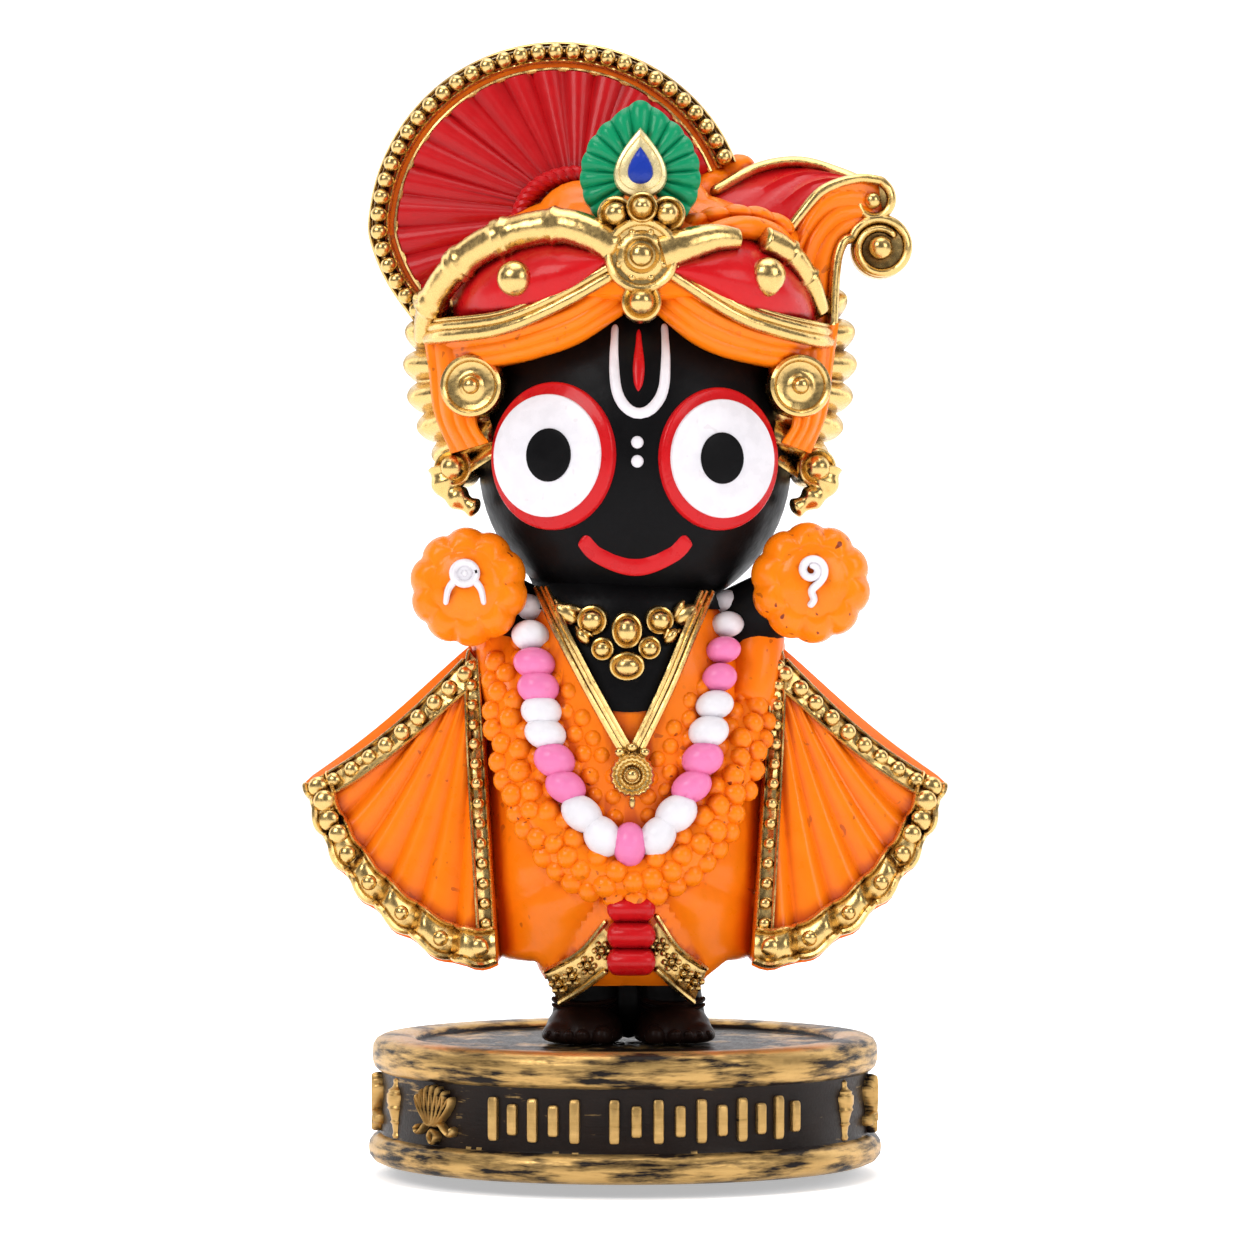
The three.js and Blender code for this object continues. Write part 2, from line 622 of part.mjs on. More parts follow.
// Everything below the soles is cut away flat, so that the feet stand on the plinth's floor
function belowFeet() {
  const side = 2 * FOOT_RIM_RADIUS;
  return solid(new THREE.BoxGeometry(side, side, side).translate(0, 0, feetLevel - side / 2));
}

function figure() {
  const whole = joined([
    ...face(),
    ...turbanFront(),
    ...broochAndFeather(),
    ...fanPlume(),
    ...tail(),
    ...sidesOfHead(),
    ...hands(),
    trunk(),
    ...garlands(),
    ...jewels(),
    ...cape(),
    ...dhoti(),
    ...foot(-1),
    ...foot(1),
  ]);
  return whole.subtract(belowFeet());
}

const group = new THREE.Group();
group.add(mesh("plinth", plinth(), 0x6b4a1e, 0.45, 0.6));
group.add(mesh("figure", figure(), 0xff7a00, 0.35, 0));

export default group;
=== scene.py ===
# %% [markdown]
# # A painted and gilt figure on a round plinth
# The real object is a small resin casting, about 11 cm tall. It stands on a dark round plinth, and it is painted
# in thick glossy enamels, with bright gold plating on every raised border and jewel. This lesson builds it piece
# by piece, joins the pieces into one skin, as the casting is one, and then paints it with procedural materials.

# %% Load the frame
import math

import bmesh
import bpy
import numpy as np
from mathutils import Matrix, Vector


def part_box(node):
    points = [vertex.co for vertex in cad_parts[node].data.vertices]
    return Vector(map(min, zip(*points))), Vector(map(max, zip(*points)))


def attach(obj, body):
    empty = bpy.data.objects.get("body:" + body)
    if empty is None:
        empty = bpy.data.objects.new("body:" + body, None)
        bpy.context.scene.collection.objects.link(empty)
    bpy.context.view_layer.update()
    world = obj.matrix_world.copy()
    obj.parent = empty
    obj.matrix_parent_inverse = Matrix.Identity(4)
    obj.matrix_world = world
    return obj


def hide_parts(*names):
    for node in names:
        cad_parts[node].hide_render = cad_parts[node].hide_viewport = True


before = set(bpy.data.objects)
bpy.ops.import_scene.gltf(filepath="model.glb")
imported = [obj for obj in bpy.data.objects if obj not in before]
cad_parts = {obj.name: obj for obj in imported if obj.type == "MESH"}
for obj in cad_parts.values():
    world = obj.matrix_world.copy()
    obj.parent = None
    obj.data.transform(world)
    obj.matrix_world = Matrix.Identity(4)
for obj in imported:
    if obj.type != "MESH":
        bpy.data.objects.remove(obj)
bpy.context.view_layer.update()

figure_low, figure_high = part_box("figure")
plinth_low, plinth_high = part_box("plinth")
print("figure is", round(figure_high.z - figure_low.z, 4), "m tall and stands at", round(figure_low.z, 4), "m")

# %% [markdown]
# ## Measures
# The carving is laid out in hundredths of the figure's height: x to the right, y into the depth, h up from the
# soles. One unit is about a millimetre. Every piece is a cloud of points in these units, with faces between them,
# so its shape comes from a few named sizes and functions rather than from hand-placed points.

# %% Units and smooth lines
TALL = 99.9
UNIT = (figure_high.z - figure_low.z) / TALL
FEET = figure_low.z


def placed(points):
    """Figure units to metres."""
    points = np.asarray(points, float).reshape(-1, 3)
    return points * UNIT + np.array([0, 0, FEET])


def smooth_line(points):
    """A function of t from 0 to 1 that runs evenly along a smooth line through the points."""
    p = np.array(points, float)
    p = np.vstack([2 * p[0] - p[1], p, 2 * p[-1] - p[-2]])
    t = np.linspace(0, 1, 25)[:-1, None]
    runs = [
        0.5 * (2 * b + (c - a) * t + (2 * a - 5 * b + 4 * c - d) * t**2 + (3 * b - a - 3 * c + d) * t**3)
        for a, b, c, d in zip(p, p[1:], p[2:], p[3:])
    ]
    fine = np.vstack([*runs, p[-2]])
    run = np.concatenate([[0], np.cumsum(np.linalg.norm(np.diff(fine, axis=0), axis=1))])
    run = run / run[-1]
    return lambda t: np.stack([np.interp(t, run, fine[:, k]) for k in range(fine.shape[1])], axis=-1)


def unit(v):
    return v / np.maximum(np.linalg.norm(v, axis=-1, keepdims=True), 1e-9)


print("one unit is", round(UNIT * 1000, 4), "mm")

# %% [markdown]
# ## Ways to make a form
# Four forms make nearly everything on a small casting: a tube along a line, a slab between a front and a back
# surface, a turned boss, and an egg. Each one is closed on all sides, because only closed forms can be joined
# into one skin. A form is kept with the name of its paint until all of them are joined.

# %% Closed forms
casting = []
FINENESS = 0.8


def keep(paint, points, faces, seat="figure"):
    """Keeps a closed form with its paint, which may be one name or a name for each face."""
    paint = paint if isinstance(paint, list) else [paint] * len(faces)
    casting.append((paint, np.asarray(points, float).reshape(-1, 3), faces, seat))


def keep_apart(paint, points, faces, size):
    """Keeps many small closed forms of the same number of points, in groups where no two of a group touch."""
    blobs = points.reshape(-1, size, 3)
    each = len(faces) // len(blobs)
    centres = blobs.mean(axis=1)
    reach = np.linalg.norm(blobs - centres[:, None], axis=2).max(axis=1)
    groups = []
    for i, centre in enumerate(centres):
        clear = lambda g: all(np.linalg.norm(centre - centres[j]) > reach[i] + reach[j] + 0.02 for j in g)
        home = next((g for g in groups if clear(g)), None)
        if home is None:
            groups.append([i])
        else:
            home.append(i)
    for group in groups:
        own = [[k + (g - i) * size for k in f] for g, i in enumerate(group) for f in faces[i * each : (i + 1) * each]]
        keep(paint, blobs[group], own)
    return len(blobs)


def bands(rings, size):
    i, j = np.meshgrid(np.arange(rings - 1), np.arange(size), indexing="ij")
    a, b = i * size + j, i * size + (j + 1) % size
    return np.stack([a, b, b + size, a + size], axis=-1).reshape(-1, 4).tolist()


def loft(paint, rings, seat="figure"):
    """Rings of points joined into a closed skin, each end closed round its middle."""
    rings = np.asarray(rings, float)
    count, size = rings.shape[:2]
    points = np.vstack([rings.reshape(-1, 3), rings[0].mean(axis=0), rings[-1].mean(axis=0)])
    faces = bands(count, size)
    last = (count - 1) * size
    for j in range(size):
        k = (j + 1) % size
        faces += [[count * size, k, j], [count * size + 1, last + j, last + k]]
    keep(paint, points, faces, seat)


def slab(paint, front, back, us, vs, seat="figure"):
    """A closed plate between two surfaces, each a function of grids u and v."""
    u, v = np.meshgrid(us, vs, indexing="ij")
    rows, cols = u.shape
    size = rows * cols
    points = np.vstack([np.reshape(front(u, v), (-1, 3)), np.reshape(back(u, v), (-1, 3))])
    i, j = np.meshgrid(np.arange(rows - 1), np.arange(cols - 1), indexing="ij")
    a = (i * cols + j).reshape(-1)
    face = np.stack([a, a + 1, a + cols + 1, a + cols], axis=-1)
    rim = [*range(cols), *range(2 * cols - 1, size, cols), *range(size - 2, size - cols - 1, -1)]
    rim += list(range(size - 2 * cols, 0, -cols))
    sides = [[p, p + size, q + size, q] for p, q in zip(rim, rim[1:] + rim[:1])]
    keep(paint, points, [*face[:, ::-1].tolist(), *(face + size).tolist(), *sides], seat)


def tube(paint, points, wide, deep=None, count=40, sides=12, face=(0, -1, 0), round_end=0.0, seat="figure"):
    """A tube along a line. Its half width and half depth may change with t, and its ends may be rounded."""
    line = smooth_line(points)
    t = np.linspace(0, 1, round(count * FINENESS) + 1)
    if round_end:
        near = round_end * (1 - np.cos(np.linspace(0.12, 1, 5) * math.pi / 2))
        t = np.unique(np.concatenate([near, 1 - near, t[(t > round_end) & (t < 1 - round_end)]]))
    path = line(t)
    along = unit(line(np.minimum(t + 0.004, 1)) - line(np.maximum(t - 0.004, 0)))
    across = unit(np.cross(along, np.array(face, float)))
    out = np.cross(across, along)
    value = lambda size: (size(t) if callable(size) else np.full_like(t, size))
    shrink = np.ones_like(t)
    if round_end:
        s = np.minimum(np.minimum(t, 1 - t) / round_end, 1)
        shrink = np.sqrt(np.maximum(1 - (1 - s) ** 2, 0.0004))
    w, d = value(wide) * shrink, value(wide if deep is None else deep) * shrink
    angle = np.arange(sides) / sides * 2 * math.pi
    rings = path[:, None] + (w[:, None] * np.cos(angle))[..., None] * across[:, None]
    rings = rings + (d[:, None] * np.sin(angle))[..., None] * out[:, None]
    loft(paint, rings, seat)


def egg(paint, centre, size, segments=20, rings=12, turn=0.0):
    """An egg with half sizes wide, deep, up and down, turned in the picture's plane."""
    wide, deep, up, down = (*size, size[2])[:4]
    segments, rings = round(segments * FINENESS), round(rings * FINENESS)
    a = np.linspace(0, 2 * math.pi, segments, endpoint=False)
    b = np.linspace(0, math.pi, rings + 1)[1:-1]
    x, y, z = np.outer(np.sin(b), np.cos(a)), np.outer(np.sin(b), np.sin(a)), np.outer(np.cos(b), np.ones(segments))
    body = np.stack([wide * x, deep * y, np.where(z > 0, up, down) * z], axis=-1).reshape(-1, 3)
    points = np.vstack([body, [[0, 0, up], [0, 0, -down]]])
    c, s = math.cos(turn), math.sin(turn)
    points = points @ np.array([[c, 0, s], [0, 1, 0], [-s, 0, c]]) + np.array(centre, float)
    faces = bands(rings - 1, segments)
    top, last = len(body), (rings - 2) * segments
    for j in range(segments):
        k = (j + 1) % segments
        faces += [[top, k, j], [top + 1, last + j, last + k]]
    keep(paint, points, faces)


def turned(paint, centre, profile, normal=(0, -1, 0), segments=32, squash=1.0, outline=None):
    """A turned boss on a seat: its profile is pairs of radius and height, from its sunk middle to its crown."""
    n = unit(np.array(normal, float))
    side = unit(np.cross(n, (0, 0, 1.0)))
    up = np.cross(side, n)
    a = np.arange(segments) / segments * 2 * math.pi
    reach = np.ones(segments) if outline is None else outline(a)
    ring = lambda r, d: (
        np.array(centre, float)
        + (r * squash * reach * np.cos(a))[:, None] * side
        + (r * reach * np.sin(a))[:, None] * up
        + d * n
    )
    rows = [ring(r, d) for r, d in profile if r > 0]
    points = np.vstack([*rows, np.array(centre) + profile[0][1] * n, np.array(centre) + profile[-1][1] * n])
    faces = bands(len(rows), segments)
    first, last = len(rows) * segments, (len(rows) - 1) * segments
    for j in range(segments):
        k = (j + 1) % segments
        faces += [[first, k, j], [first + 1, last + j, last + k]]
    keep(paint, points, faces)


print("forms ready: loft, slab, tube, egg, turned")

# %% [markdown]
# ## Beads and blossoms by rule
# Rows of beads run round the fan, along the cape's borders and down the chain, and small blossoms crowd the
# garland. What repeats along a line or over a surface is made by Geometry Nodes: one tree sets beads along a
# line, and another scatters blossoms over a surface with a fixed seed. Each tree's result is read back as plain
# points, so that it can be joined with the rest.

# %% Node trees for what repeats
def tree_with(name, sockets):
    tree = bpy.data.node_groups.new(name, "GeometryNodeTree")
    tree.interface.new_socket("Geometry", in_out="INPUT", socket_type="NodeSocketGeometry")
    for label, kind in sockets:
        tree.interface.new_socket(label, in_out="INPUT", socket_type=kind)
    tree.interface.new_socket("Geometry", in_out="OUTPUT", socket_type="NodeSocketGeometry")
    return tree, tree.nodes.new("NodeGroupInput"), tree.nodes.new("NodeGroupOutput")


def add_node(tree, kind, inputs=(), **settings):
    made = tree.nodes.new(kind)
    for key, value in settings.items():
        setattr(made, key, value)
    for key, value in dict(inputs).items():
        if isinstance(value, bpy.types.NodeSocket):
            tree.links.new(value, made.inputs[key])
        else:
            made.inputs[key].default_value = value
    return made


def bead_row_tree():
    tree, given, out = tree_with(
        "bead row",
        [
            ("Count", "NodeSocketInt"),
            ("Radius", "NodeSocketFloat"),
            ("Flatness", "NodeSocketFloat"),
            ("Segments", "NodeSocketInt"),
            ("Paint", "NodeSocketMaterial"),
        ],
    )
    line = add_node(tree, "GeometryNodeMeshToCurve", {"Mesh": given.outputs["Geometry"]})
    even = add_node(
        tree, "GeometryNodeResampleCurve", {"Curve": line.outputs["Curve"], "Count": given.outputs["Count"]}
    )
    rings = add_node(tree, "ShaderNodeMath", {0: given.outputs["Segments"], 1: 1.5}, operation="DIVIDE")
    ball = add_node(
        tree,
        "GeometryNodeMeshUVSphere",
        {"Segments": given.outputs["Segments"], "Rings": rings.outputs[0], "Radius": 1.0},
    )
    depth = add_node(
        tree, "ShaderNodeMath", {0: given.outputs["Radius"], 1: given.outputs["Flatness"]}, operation="MULTIPLY"
    )
    size = add_node(
        tree,
        "ShaderNodeCombineXYZ",
        {"X": given.outputs["Radius"], "Y": depth.outputs[0], "Z": given.outputs["Radius"]},
    )
    row = add_node(
        tree,
        "GeometryNodeInstanceOnPoints",
        {"Points": even.outputs["Curve"], "Instance": ball.outputs["Mesh"], "Scale": size.outputs[0]},
    )
    real = add_node(tree, "GeometryNodeRealizeInstances", {"Geometry": row.outputs["Instances"]})
    painted = add_node(
        tree, "GeometryNodeSetMaterial", {"Geometry": real.outputs["Geometry"], "Material": given.outputs["Paint"]}
    )
    tree.links.new(painted.outputs["Geometry"], out.inputs["Geometry"])
    return tree


def blossom_tree():
    tree, given, out = tree_with(
        "blossoms",
        [
            ("Spacing", "NodeSocketFloat"),
            ("Radius", "NodeSocketFloat"),
            ("Seed", "NodeSocketInt"),
            ("Paint", "NodeSocketMaterial"),
        ],
    )
    spots = add_node(
        tree,
        "GeometryNodeDistributePointsOnFaces",
        {
            "Mesh": given.outputs["Geometry"],
            "Distance Min": given.outputs["Spacing"],
            "Density Max": 2e7,
            "Seed": given.outputs["Seed"],
        },
        distribute_method="POISSON",
    )
    bud = add_node(tree, "GeometryNodeMeshUVSphere", {"Segments": 10, "Rings": 7, "Radius": 1.0})
    size = add_node(tree, "FunctionNodeRandomValue", {"Seed": given.outputs["Seed"]}, data_type="FLOAT")
    size.inputs[2].default_value, size.inputs[3].default_value = 0.86, 1.0
    scale = add_node(
        tree, "ShaderNodeMath", {0: size.outputs[1], 1: given.outputs["Radius"]}, operation="MULTIPLY"
    )
    crowd = add_node(
        tree,
        "GeometryNodeInstanceOnPoints",
        {
            "Points": spots.outputs["Points"],
            "Instance": bud.outputs["Mesh"],
            "Rotation": spots.outputs["Rotation"],
            "Scale": scale.outputs[0],
        },
    )
    real = add_node(tree, "GeometryNodeRealizeInstances", {"Geometry": crowd.outputs["Instances"]})
    painted = add_node(
        tree, "GeometryNodeSetMaterial", {"Geometry": real.outputs["Geometry"], "Material": given.outputs["Paint"]}
    )
    tree.links.new(painted.outputs["Geometry"], out.inputs["Geometry"])
    return tree


bead_rows, blossoms = bead_row_tree(), blossom_tree()
BLOSSOM_POINTS = 10 * 6 + 2
paints = {}


def by_rule(tree, paint, points, edges, faces, **sizes):
    """Runs a tree on a guide mesh and keeps what it makes as closed forms."""
    guide = bpy.data.meshes.new("guide")
    guide.from_pydata(placed(points).tolist(), edges, faces)
    holder = bpy.data.objects.new("guide", guide)
    bpy.context.scene.collection.objects.link(holder)
    modifier = holder.modifiers.new("rule", "NODES")
    modifier.node_group = tree
    sockets = {s.name: s.identifier for s in tree.interface.items_tree if s.in_out == "INPUT"}
    for label, value in sizes.items():
        modifier[sockets[label]] = value
    modifier[sockets["Paint"]] = paints[paint]
    depsgraph = bpy.context.evaluated_depsgraph_get()
    made = bpy.data.meshes.new_from_object(holder.evaluated_get(depsgraph))
    co = np.empty(len(made.vertices) * 3)
    made.vertices.foreach_get("co", co)
    units = (co.reshape(-1, 3) - np.array([0, 0, FEET])) / UNIT
    faces = [list(p.vertices) for p in made.polygons]
    bpy.data.objects.remove(holder)
    bpy.data.meshes.remove(guide)
    bpy.data.meshes.remove(made)
    return units, faces


def beads(paint, points, count, radius, flatness=1.0, segments=12):
    """A row of beads of even spacing along a smooth line."""
    path = smooth_line(points)(np.linspace(0, 1, 161))
    edges = [[i, i + 1] for i in range(len(path) - 1)]
    sizes = {"Count": count, "Radius": radius * UNIT, "Flatness": flatness, "Segments": segments}
    points, faces = by_rule(bead_rows, paint, path, edges, [], **sizes)
    return keep_apart(paint, points, faces, len(points) // count)


print("node trees:", bead_rows.name, "and", blossoms.name)

# %% [markdown]
# ## Paints
# The real finish is hand-brushed gloss enamel over a cast, and vacuum plating on the raised parts. Enamel pools in
# the hollows, and there its colour is made deeper, as pooled paint and as painted shade; it has tiny dark specks where
# dust was caught. One node group makes that enamel for every colour. It reads where a point lies on the object and a
# `hollow` value that is measured on the finished skin, so the painted shade follows the carving from every side.

# %% Node group for hand-brushed enamel
def shader_group(name, inputs, outputs):
    tree = bpy.data.node_groups.new(name, "ShaderNodeTree")
    for label, kind in inputs:
        tree.interface.new_socket(label, in_out="INPUT", socket_type=kind)
    for label, kind in outputs:
        tree.interface.new_socket(label, in_out="OUTPUT", socket_type=kind)
    return tree, tree.nodes.new("NodeGroupInput"), tree.nodes.new("NodeGroupOutput")


def noise(tree, where, scale, detail=3.0, rough=0.5):
    made = add_node(
        tree, "ShaderNodeTexNoise", {"Vector": where, "Scale": scale, "Detail": detail, "Roughness": rough}
    )
    return made.outputs["Fac"]


def mapped(tree, value, low, high, to_low=0.0, to_high=1.0):
    keys = {"Value": value, "From Min": low, "From Max": high, "To Min": to_low, "To Max": to_high}
    return add_node(tree, "ShaderNodeMapRange", keys).outputs["Result"]


def blend(tree, share, first, second, how="MIX"):
    made = add_node(tree, "ShaderNodeMix", data_type="RGBA", blend_type=how)
    for key, value in (("Factor", share), ("A", first), ("B", second)):
        socket = next(s for s in made.inputs if s.name == key and (key == "Factor" or s.type == "RGBA"))
        if isinstance(value, bpy.types.NodeSocket):
            tree.links.new(value, socket)
        else:
            socket.default_value = value
    return next(s for s in made.outputs if s.type == "RGBA")


def sums(tree, how, first, second):
    return add_node(tree, "ShaderNodeMath", {0: first, 1: second}, operation=how).outputs[0]


def hollow_of(tree):
    return add_node(tree, "ShaderNodeAttribute", attribute_name="hollow").outputs["Fac"]


def enamel_group():
    tree, given, out = shader_group(
        "hand-brushed enamel",
        [
            ("Colour", "NodeSocketColor"),
            ("Pooled paint and shade colour", "NodeSocketColor"),
            ("Pooling and shade", "NodeSocketFloat"),
            ("Specks", "NodeSocketFloat"),
            ("Gloss", "NodeSocketFloat"),
        ],
        [("Colour", "NodeSocketColor"), ("Roughness", "NodeSocketFloat"), ("Height", "NodeSocketFloat")],
    )
    where = add_node(tree, "ShaderNodeTexCoord").outputs["Object"]
    broad, brush, grain = noise(tree, where, 130), noise(tree, where, 620), noise(tree, where, 2600, 2)
    # Towards the hollows the colour deepens to the second colour: pooled paint and painted shade.
    pooled_and_shaded = sums(tree, "MULTIPLY", mapped(tree, hollow_of(tree), 0.2, 0.85), given.outputs["Pooling and shade"])
    tint = blend(tree, pooled_and_shaded, given.outputs["Colour"], given.outputs["Pooled paint and shade colour"])
    thin = mapped(tree, sums(tree, "ADD", broad, brush), 0.7, 1.3, 0.93, 1.05)
    tint = blend(tree, 1.0, tint, add_node(tree, "ShaderNodeCombineColor", {0: thin, 1: thin, 2: thin}).outputs[0], "MULTIPLY")
    dust = mapped(tree, noise(tree, where, 1300, 0), 0.74, 0.78)
    patch = mapped(tree, noise(tree, where, 160, 1), 0.5, 0.62)
    speck = sums(tree, "MULTIPLY", sums(tree, "MULTIPLY", dust, patch), given.outputs["Specks"])
    tint = blend(tree, speck, tint, (0.22, 0.03, 0.008, 1))
    gloss = sums(tree, "ADD", given.outputs["Gloss"], mapped(tree, brush, 0.3, 0.7, -0.05, 0.09))
    height = sums(tree, "ADD", sums(tree, "MULTIPLY", brush, 0.75), sums(tree, "MULTIPLY", grain, 0.12))
    tree.links.new(tint, out.inputs["Colour"])
    tree.links.new(gloss, out.inputs["Roughness"])
    tree.links.new(height, out.inputs["Height"])
    return tree


enamel = enamel_group()


def new_paint(name, metallic=0.0):
    material = bpy.data.materials.new(name)
    material.use_nodes = True
    tree = material.node_tree
    shader = next(n for n in tree.nodes if n.type == "BSDF_PRINCIPLED")
    shader.inputs["Metallic"].default_value = metallic
    paints[name] = material
    return tree, shader


def bumped(tree, shader, height, strength, distance):
    bump = add_node(tree, "ShaderNodeBump", {"Height": height, "Strength": strength, "Distance": distance})
    tree.links.new(bump.outputs["Normal"], shader.inputs["Normal"])


def enamelled(name, colour, pooled_and_shaded, pooling_and_shade=0.8, specks=0.0, gloss=0.3, coat=0.16, shine=0.16):
    tree, shader = new_paint(name)
    brushed = tree.nodes.new("ShaderNodeGroup")
    brushed.node_tree = enamel
    values = {
        "Colour": (*colour, 1), "Pooled paint and shade colour": (*pooled_and_shaded, 1), "Pooling and shade": pooling_and_shade, "Specks": specks, "Gloss": gloss
    }
    for key, value in values.items():
        brushed.inputs[key].default_value = value
    tree.links.new(brushed.outputs["Colour"], shader.inputs["Base Color"])
    tree.links.new(brushed.outputs["Roughness"], shader.inputs["Roughness"])
    shader.inputs["Specular IOR Level"].default_value = shine
    shader.inputs["Coat Weight"].default_value = coat
    shader.inputs["Coat Roughness"].default_value = 0.1
    bumped(tree, shader, brushed.outputs["Height"], 0.35, 0.00025)


# The second colour of each enamel is its deeper colour in the hollows, for pooled paint and painted shade.
enamelled("orange", (0.95, 0.2, 0.003), (0.56, 0.06, 0.001), 0.9, 0.5, 0.3)
enamelled("marigold", (0.95, 0.215, 0.004), (0.62, 0.075, 0.001), 0.8, 1.0, 0.24)
enamelled("red", (0.56, 0.006, 0.009), (0.22, 0.002, 0.004), 0.8, 0.1, 0.28)
enamelled("fan red", (0.5, 0.005, 0.008), (0.15, 0.001, 0.002), 1.0, 0.1, 0.34)
enamelled("skin black", (0.0045, 0.0042, 0.0046), (0.002, 0.002, 0.002), 0.6, 0.0, 0.36, 0.0, 0.07)
enamelled("feet brown", (0.016, 0.007, 0.005), (0.003, 0.002, 0.002), 0.8, 0.0, 0.36, 0.0, 0.1)
enamelled("green", (0.004, 0.27, 0.11), (0.001, 0.1, 0.04), 0.8, 0.1, 0.28)
enamelled("blue", (0.012, 0.04, 0.34), (0.005, 0.01, 0.12), 0.8, 0.0, 0.25)
enamelled("pink", (0.8, 0.2, 0.42), (0.5, 0.08, 0.2), 0.6, 0.1, 0.22)
enamelled("white", (0.78, 0.75, 0.78), (0.5, 0.46, 0.5), 0.5, 0.1, 0.26)
print("enamels:", ", ".join(paints))

# %% [markdown]
# ## Gold
# The plating on the figure is bright and mirror-like, with dark lines where the relief meets the ground: these are
# dirt and painted shade, laid into the hollows. On the plinth the gold is only dry-brushed: a nearly dry brush catches
# the high parts and leaves streaks, so the dark cast shows in between. The first is a metal with small dents, the
# second is a mask between two finishes.

# %% Plated gold and dry-brushed gold
def plated_group():
    tree, given, out = shader_group(
        "plating",
        [("Metal", "NodeSocketColor"), ("Dirt and shade", "NodeSocketColor"), ("Dirt and shade share", "NodeSocketFloat")],
        [("Colour", "NodeSocketColor"), ("Roughness", "NodeSocketFloat"), ("Height", "NodeSocketFloat")],
    )
    where = add_node(tree, "ShaderNodeTexCoord").outputs["Object"]
    dents, grain = noise(tree, where, 420, 2), noise(tree, where, 2200, 2)
    # Towards the hollows the metal turns to its second colour: dirt and painted shade.
    dirt_and_shade = sums(tree, "MULTIPLY", mapped(tree, hollow_of(tree), 0.45, 0.95), given.outputs["Dirt and shade share"])
    tint = blend(tree, dirt_and_shade, given.outputs["Metal"], given.outputs["Dirt and shade"])
    tree.links.new(tint, out.inputs["Colour"])
    tree.links.new(mapped(tree, grain, 0.3, 0.7, 0.2, 0.33), out.inputs["Roughness"])
    height = sums(tree, "ADD", dents, sums(tree, "MULTIPLY", grain, 0.1))
    tree.links.new(height, out.inputs["Height"])
    return tree


def plated(name, metal, dirt_and_shade, share, metallic=1.0):
    tree, shader = new_paint(name, metallic)
    plating = tree.nodes.new("ShaderNodeGroup")
    plating.node_tree = plating_tree
    for key, value in {"Metal": (*metal, 1), "Dirt and shade": (*dirt_and_shade, 1), "Dirt and shade share": share}.items():
        plating.inputs[key].default_value = value
    tree.links.new(plating.outputs["Colour"], shader.inputs["Base Color"])
    tree.links.new(plating.outputs["Roughness"], shader.inputs["Roughness"])
    bumped(tree, shader, plating.outputs["Height"], 0.5, 0.0003)


def dry_brushed(name, cover):
    """Dark cast with gold caught on its high parts. Cover is how much of them the brush caught."""
    tree, shader = new_paint(name)
    where = add_node(tree, "ShaderNodeTexCoord").outputs["Object"]
    apart = add_node(tree, "ShaderNodeSeparateXYZ", {"Vector": where})
    along = {key: sums(tree, "MULTIPLY", apart.outputs[key], 0.13) for key in ("X", "Y")}
    drawn = add_node(tree, "ShaderNodeCombineXYZ", {**along, "Z": apart.outputs["Z"]})
    streak = noise(tree, drawn.outputs[0], 1300, 5, 0.62)
    patch = noise(tree, where, 210, 3)
    fine = noise(tree, where, 3200, 2)
    caught = sums(tree, "ADD", sums(tree, "MULTIPLY", streak, 0.68), sums(tree, "MULTIPLY", patch, 0.32))
    caught = sums(tree, "SUBTRACT", caught, sums(tree, "MULTIPLY", hollow_of(tree), 0.3))
    mask = mapped(tree, caught, 0.47 - 0.16 * cover, 0.6 - 0.16 * cover)
    dark = blend(tree, patch, (0.005, 0.004, 0.004, 1), (0.02, 0.011, 0.007, 1))
    gold = blend(tree, streak, (0.3, 0.17, 0.045, 1), (0.7, 0.45, 0.17, 1))
    shader.inputs["Specular IOR Level"].default_value = 0.12
    tree.links.new(blend(tree, mask, dark, gold), shader.inputs["Base Color"])
    tree.links.new(sums(tree, "MULTIPLY", mask, 0.9), shader.inputs["Metallic"])
    tree.links.new(mapped(tree, fine, 0.3, 0.7, 0.3, 0.46), shader.inputs["Roughness"])
    height = sums(tree, "ADD", sums(tree, "MULTIPLY", streak, 0.6), sums(tree, "MULTIPLY", fine, 0.2))
    bumped(tree, shader, height, 0.4, 0.0002)


plating_tree = plated_group()
# The second colour of each plating is laid into the hollows as dirt and painted shade.
plated("gold", (0.68, 0.46, 0.17), (0.2, 0.1, 0.03), 0.9)
plated("pale gold", (0.86, 0.7, 0.36), (0.3, 0.16, 0.05), 0.7, 0.45)
dry_brushed("plinth rims", 0.42)
dry_brushed("plinth band", -0.75)
dry_brushed("plinth floor", -0.3)
dry_brushed("plinth relief", 1.5)
print("finishes:", ", ".join(paints))

# %% [markdown]
# ## Head
# The head is an egg with a broad satin face. The eyes are flat-domed discs laid on it: a red one, a white one and
# a small black one, each standing a little above the last, as thick paint on a raised ring does. The smile and the
# brow marks are raised strokes that follow the egg, so they keep their shape from the side too.

# %% Head, eyes, smile and brow marks
HEAD = {"x": 1.0, "y": -1.5, "h": 57.6, "wide": 15.6, "deep": 14.0, "up": 19.0, "down": 15.4}


def face_y(x, h):
    tall = np.where(h > HEAD["h"], HEAD["up"], HEAD["down"])
    inside = 1 - ((x - HEAD["x"]) / HEAD["wide"]) ** 2 - ((h - HEAD["h"]) / tall) ** 2
    return HEAD["y"] - HEAD["deep"] * np.sqrt(np.maximum(0, inside))


def on_face(x, h, proud=0.0):
    return (x, float(face_y(x, h)) - proud, h)


egg("skin black", (HEAD["x"], HEAD["y"], HEAD["h"]), [HEAD[k] for k in ("wide", "deep", "up", "down")], 72, 44)


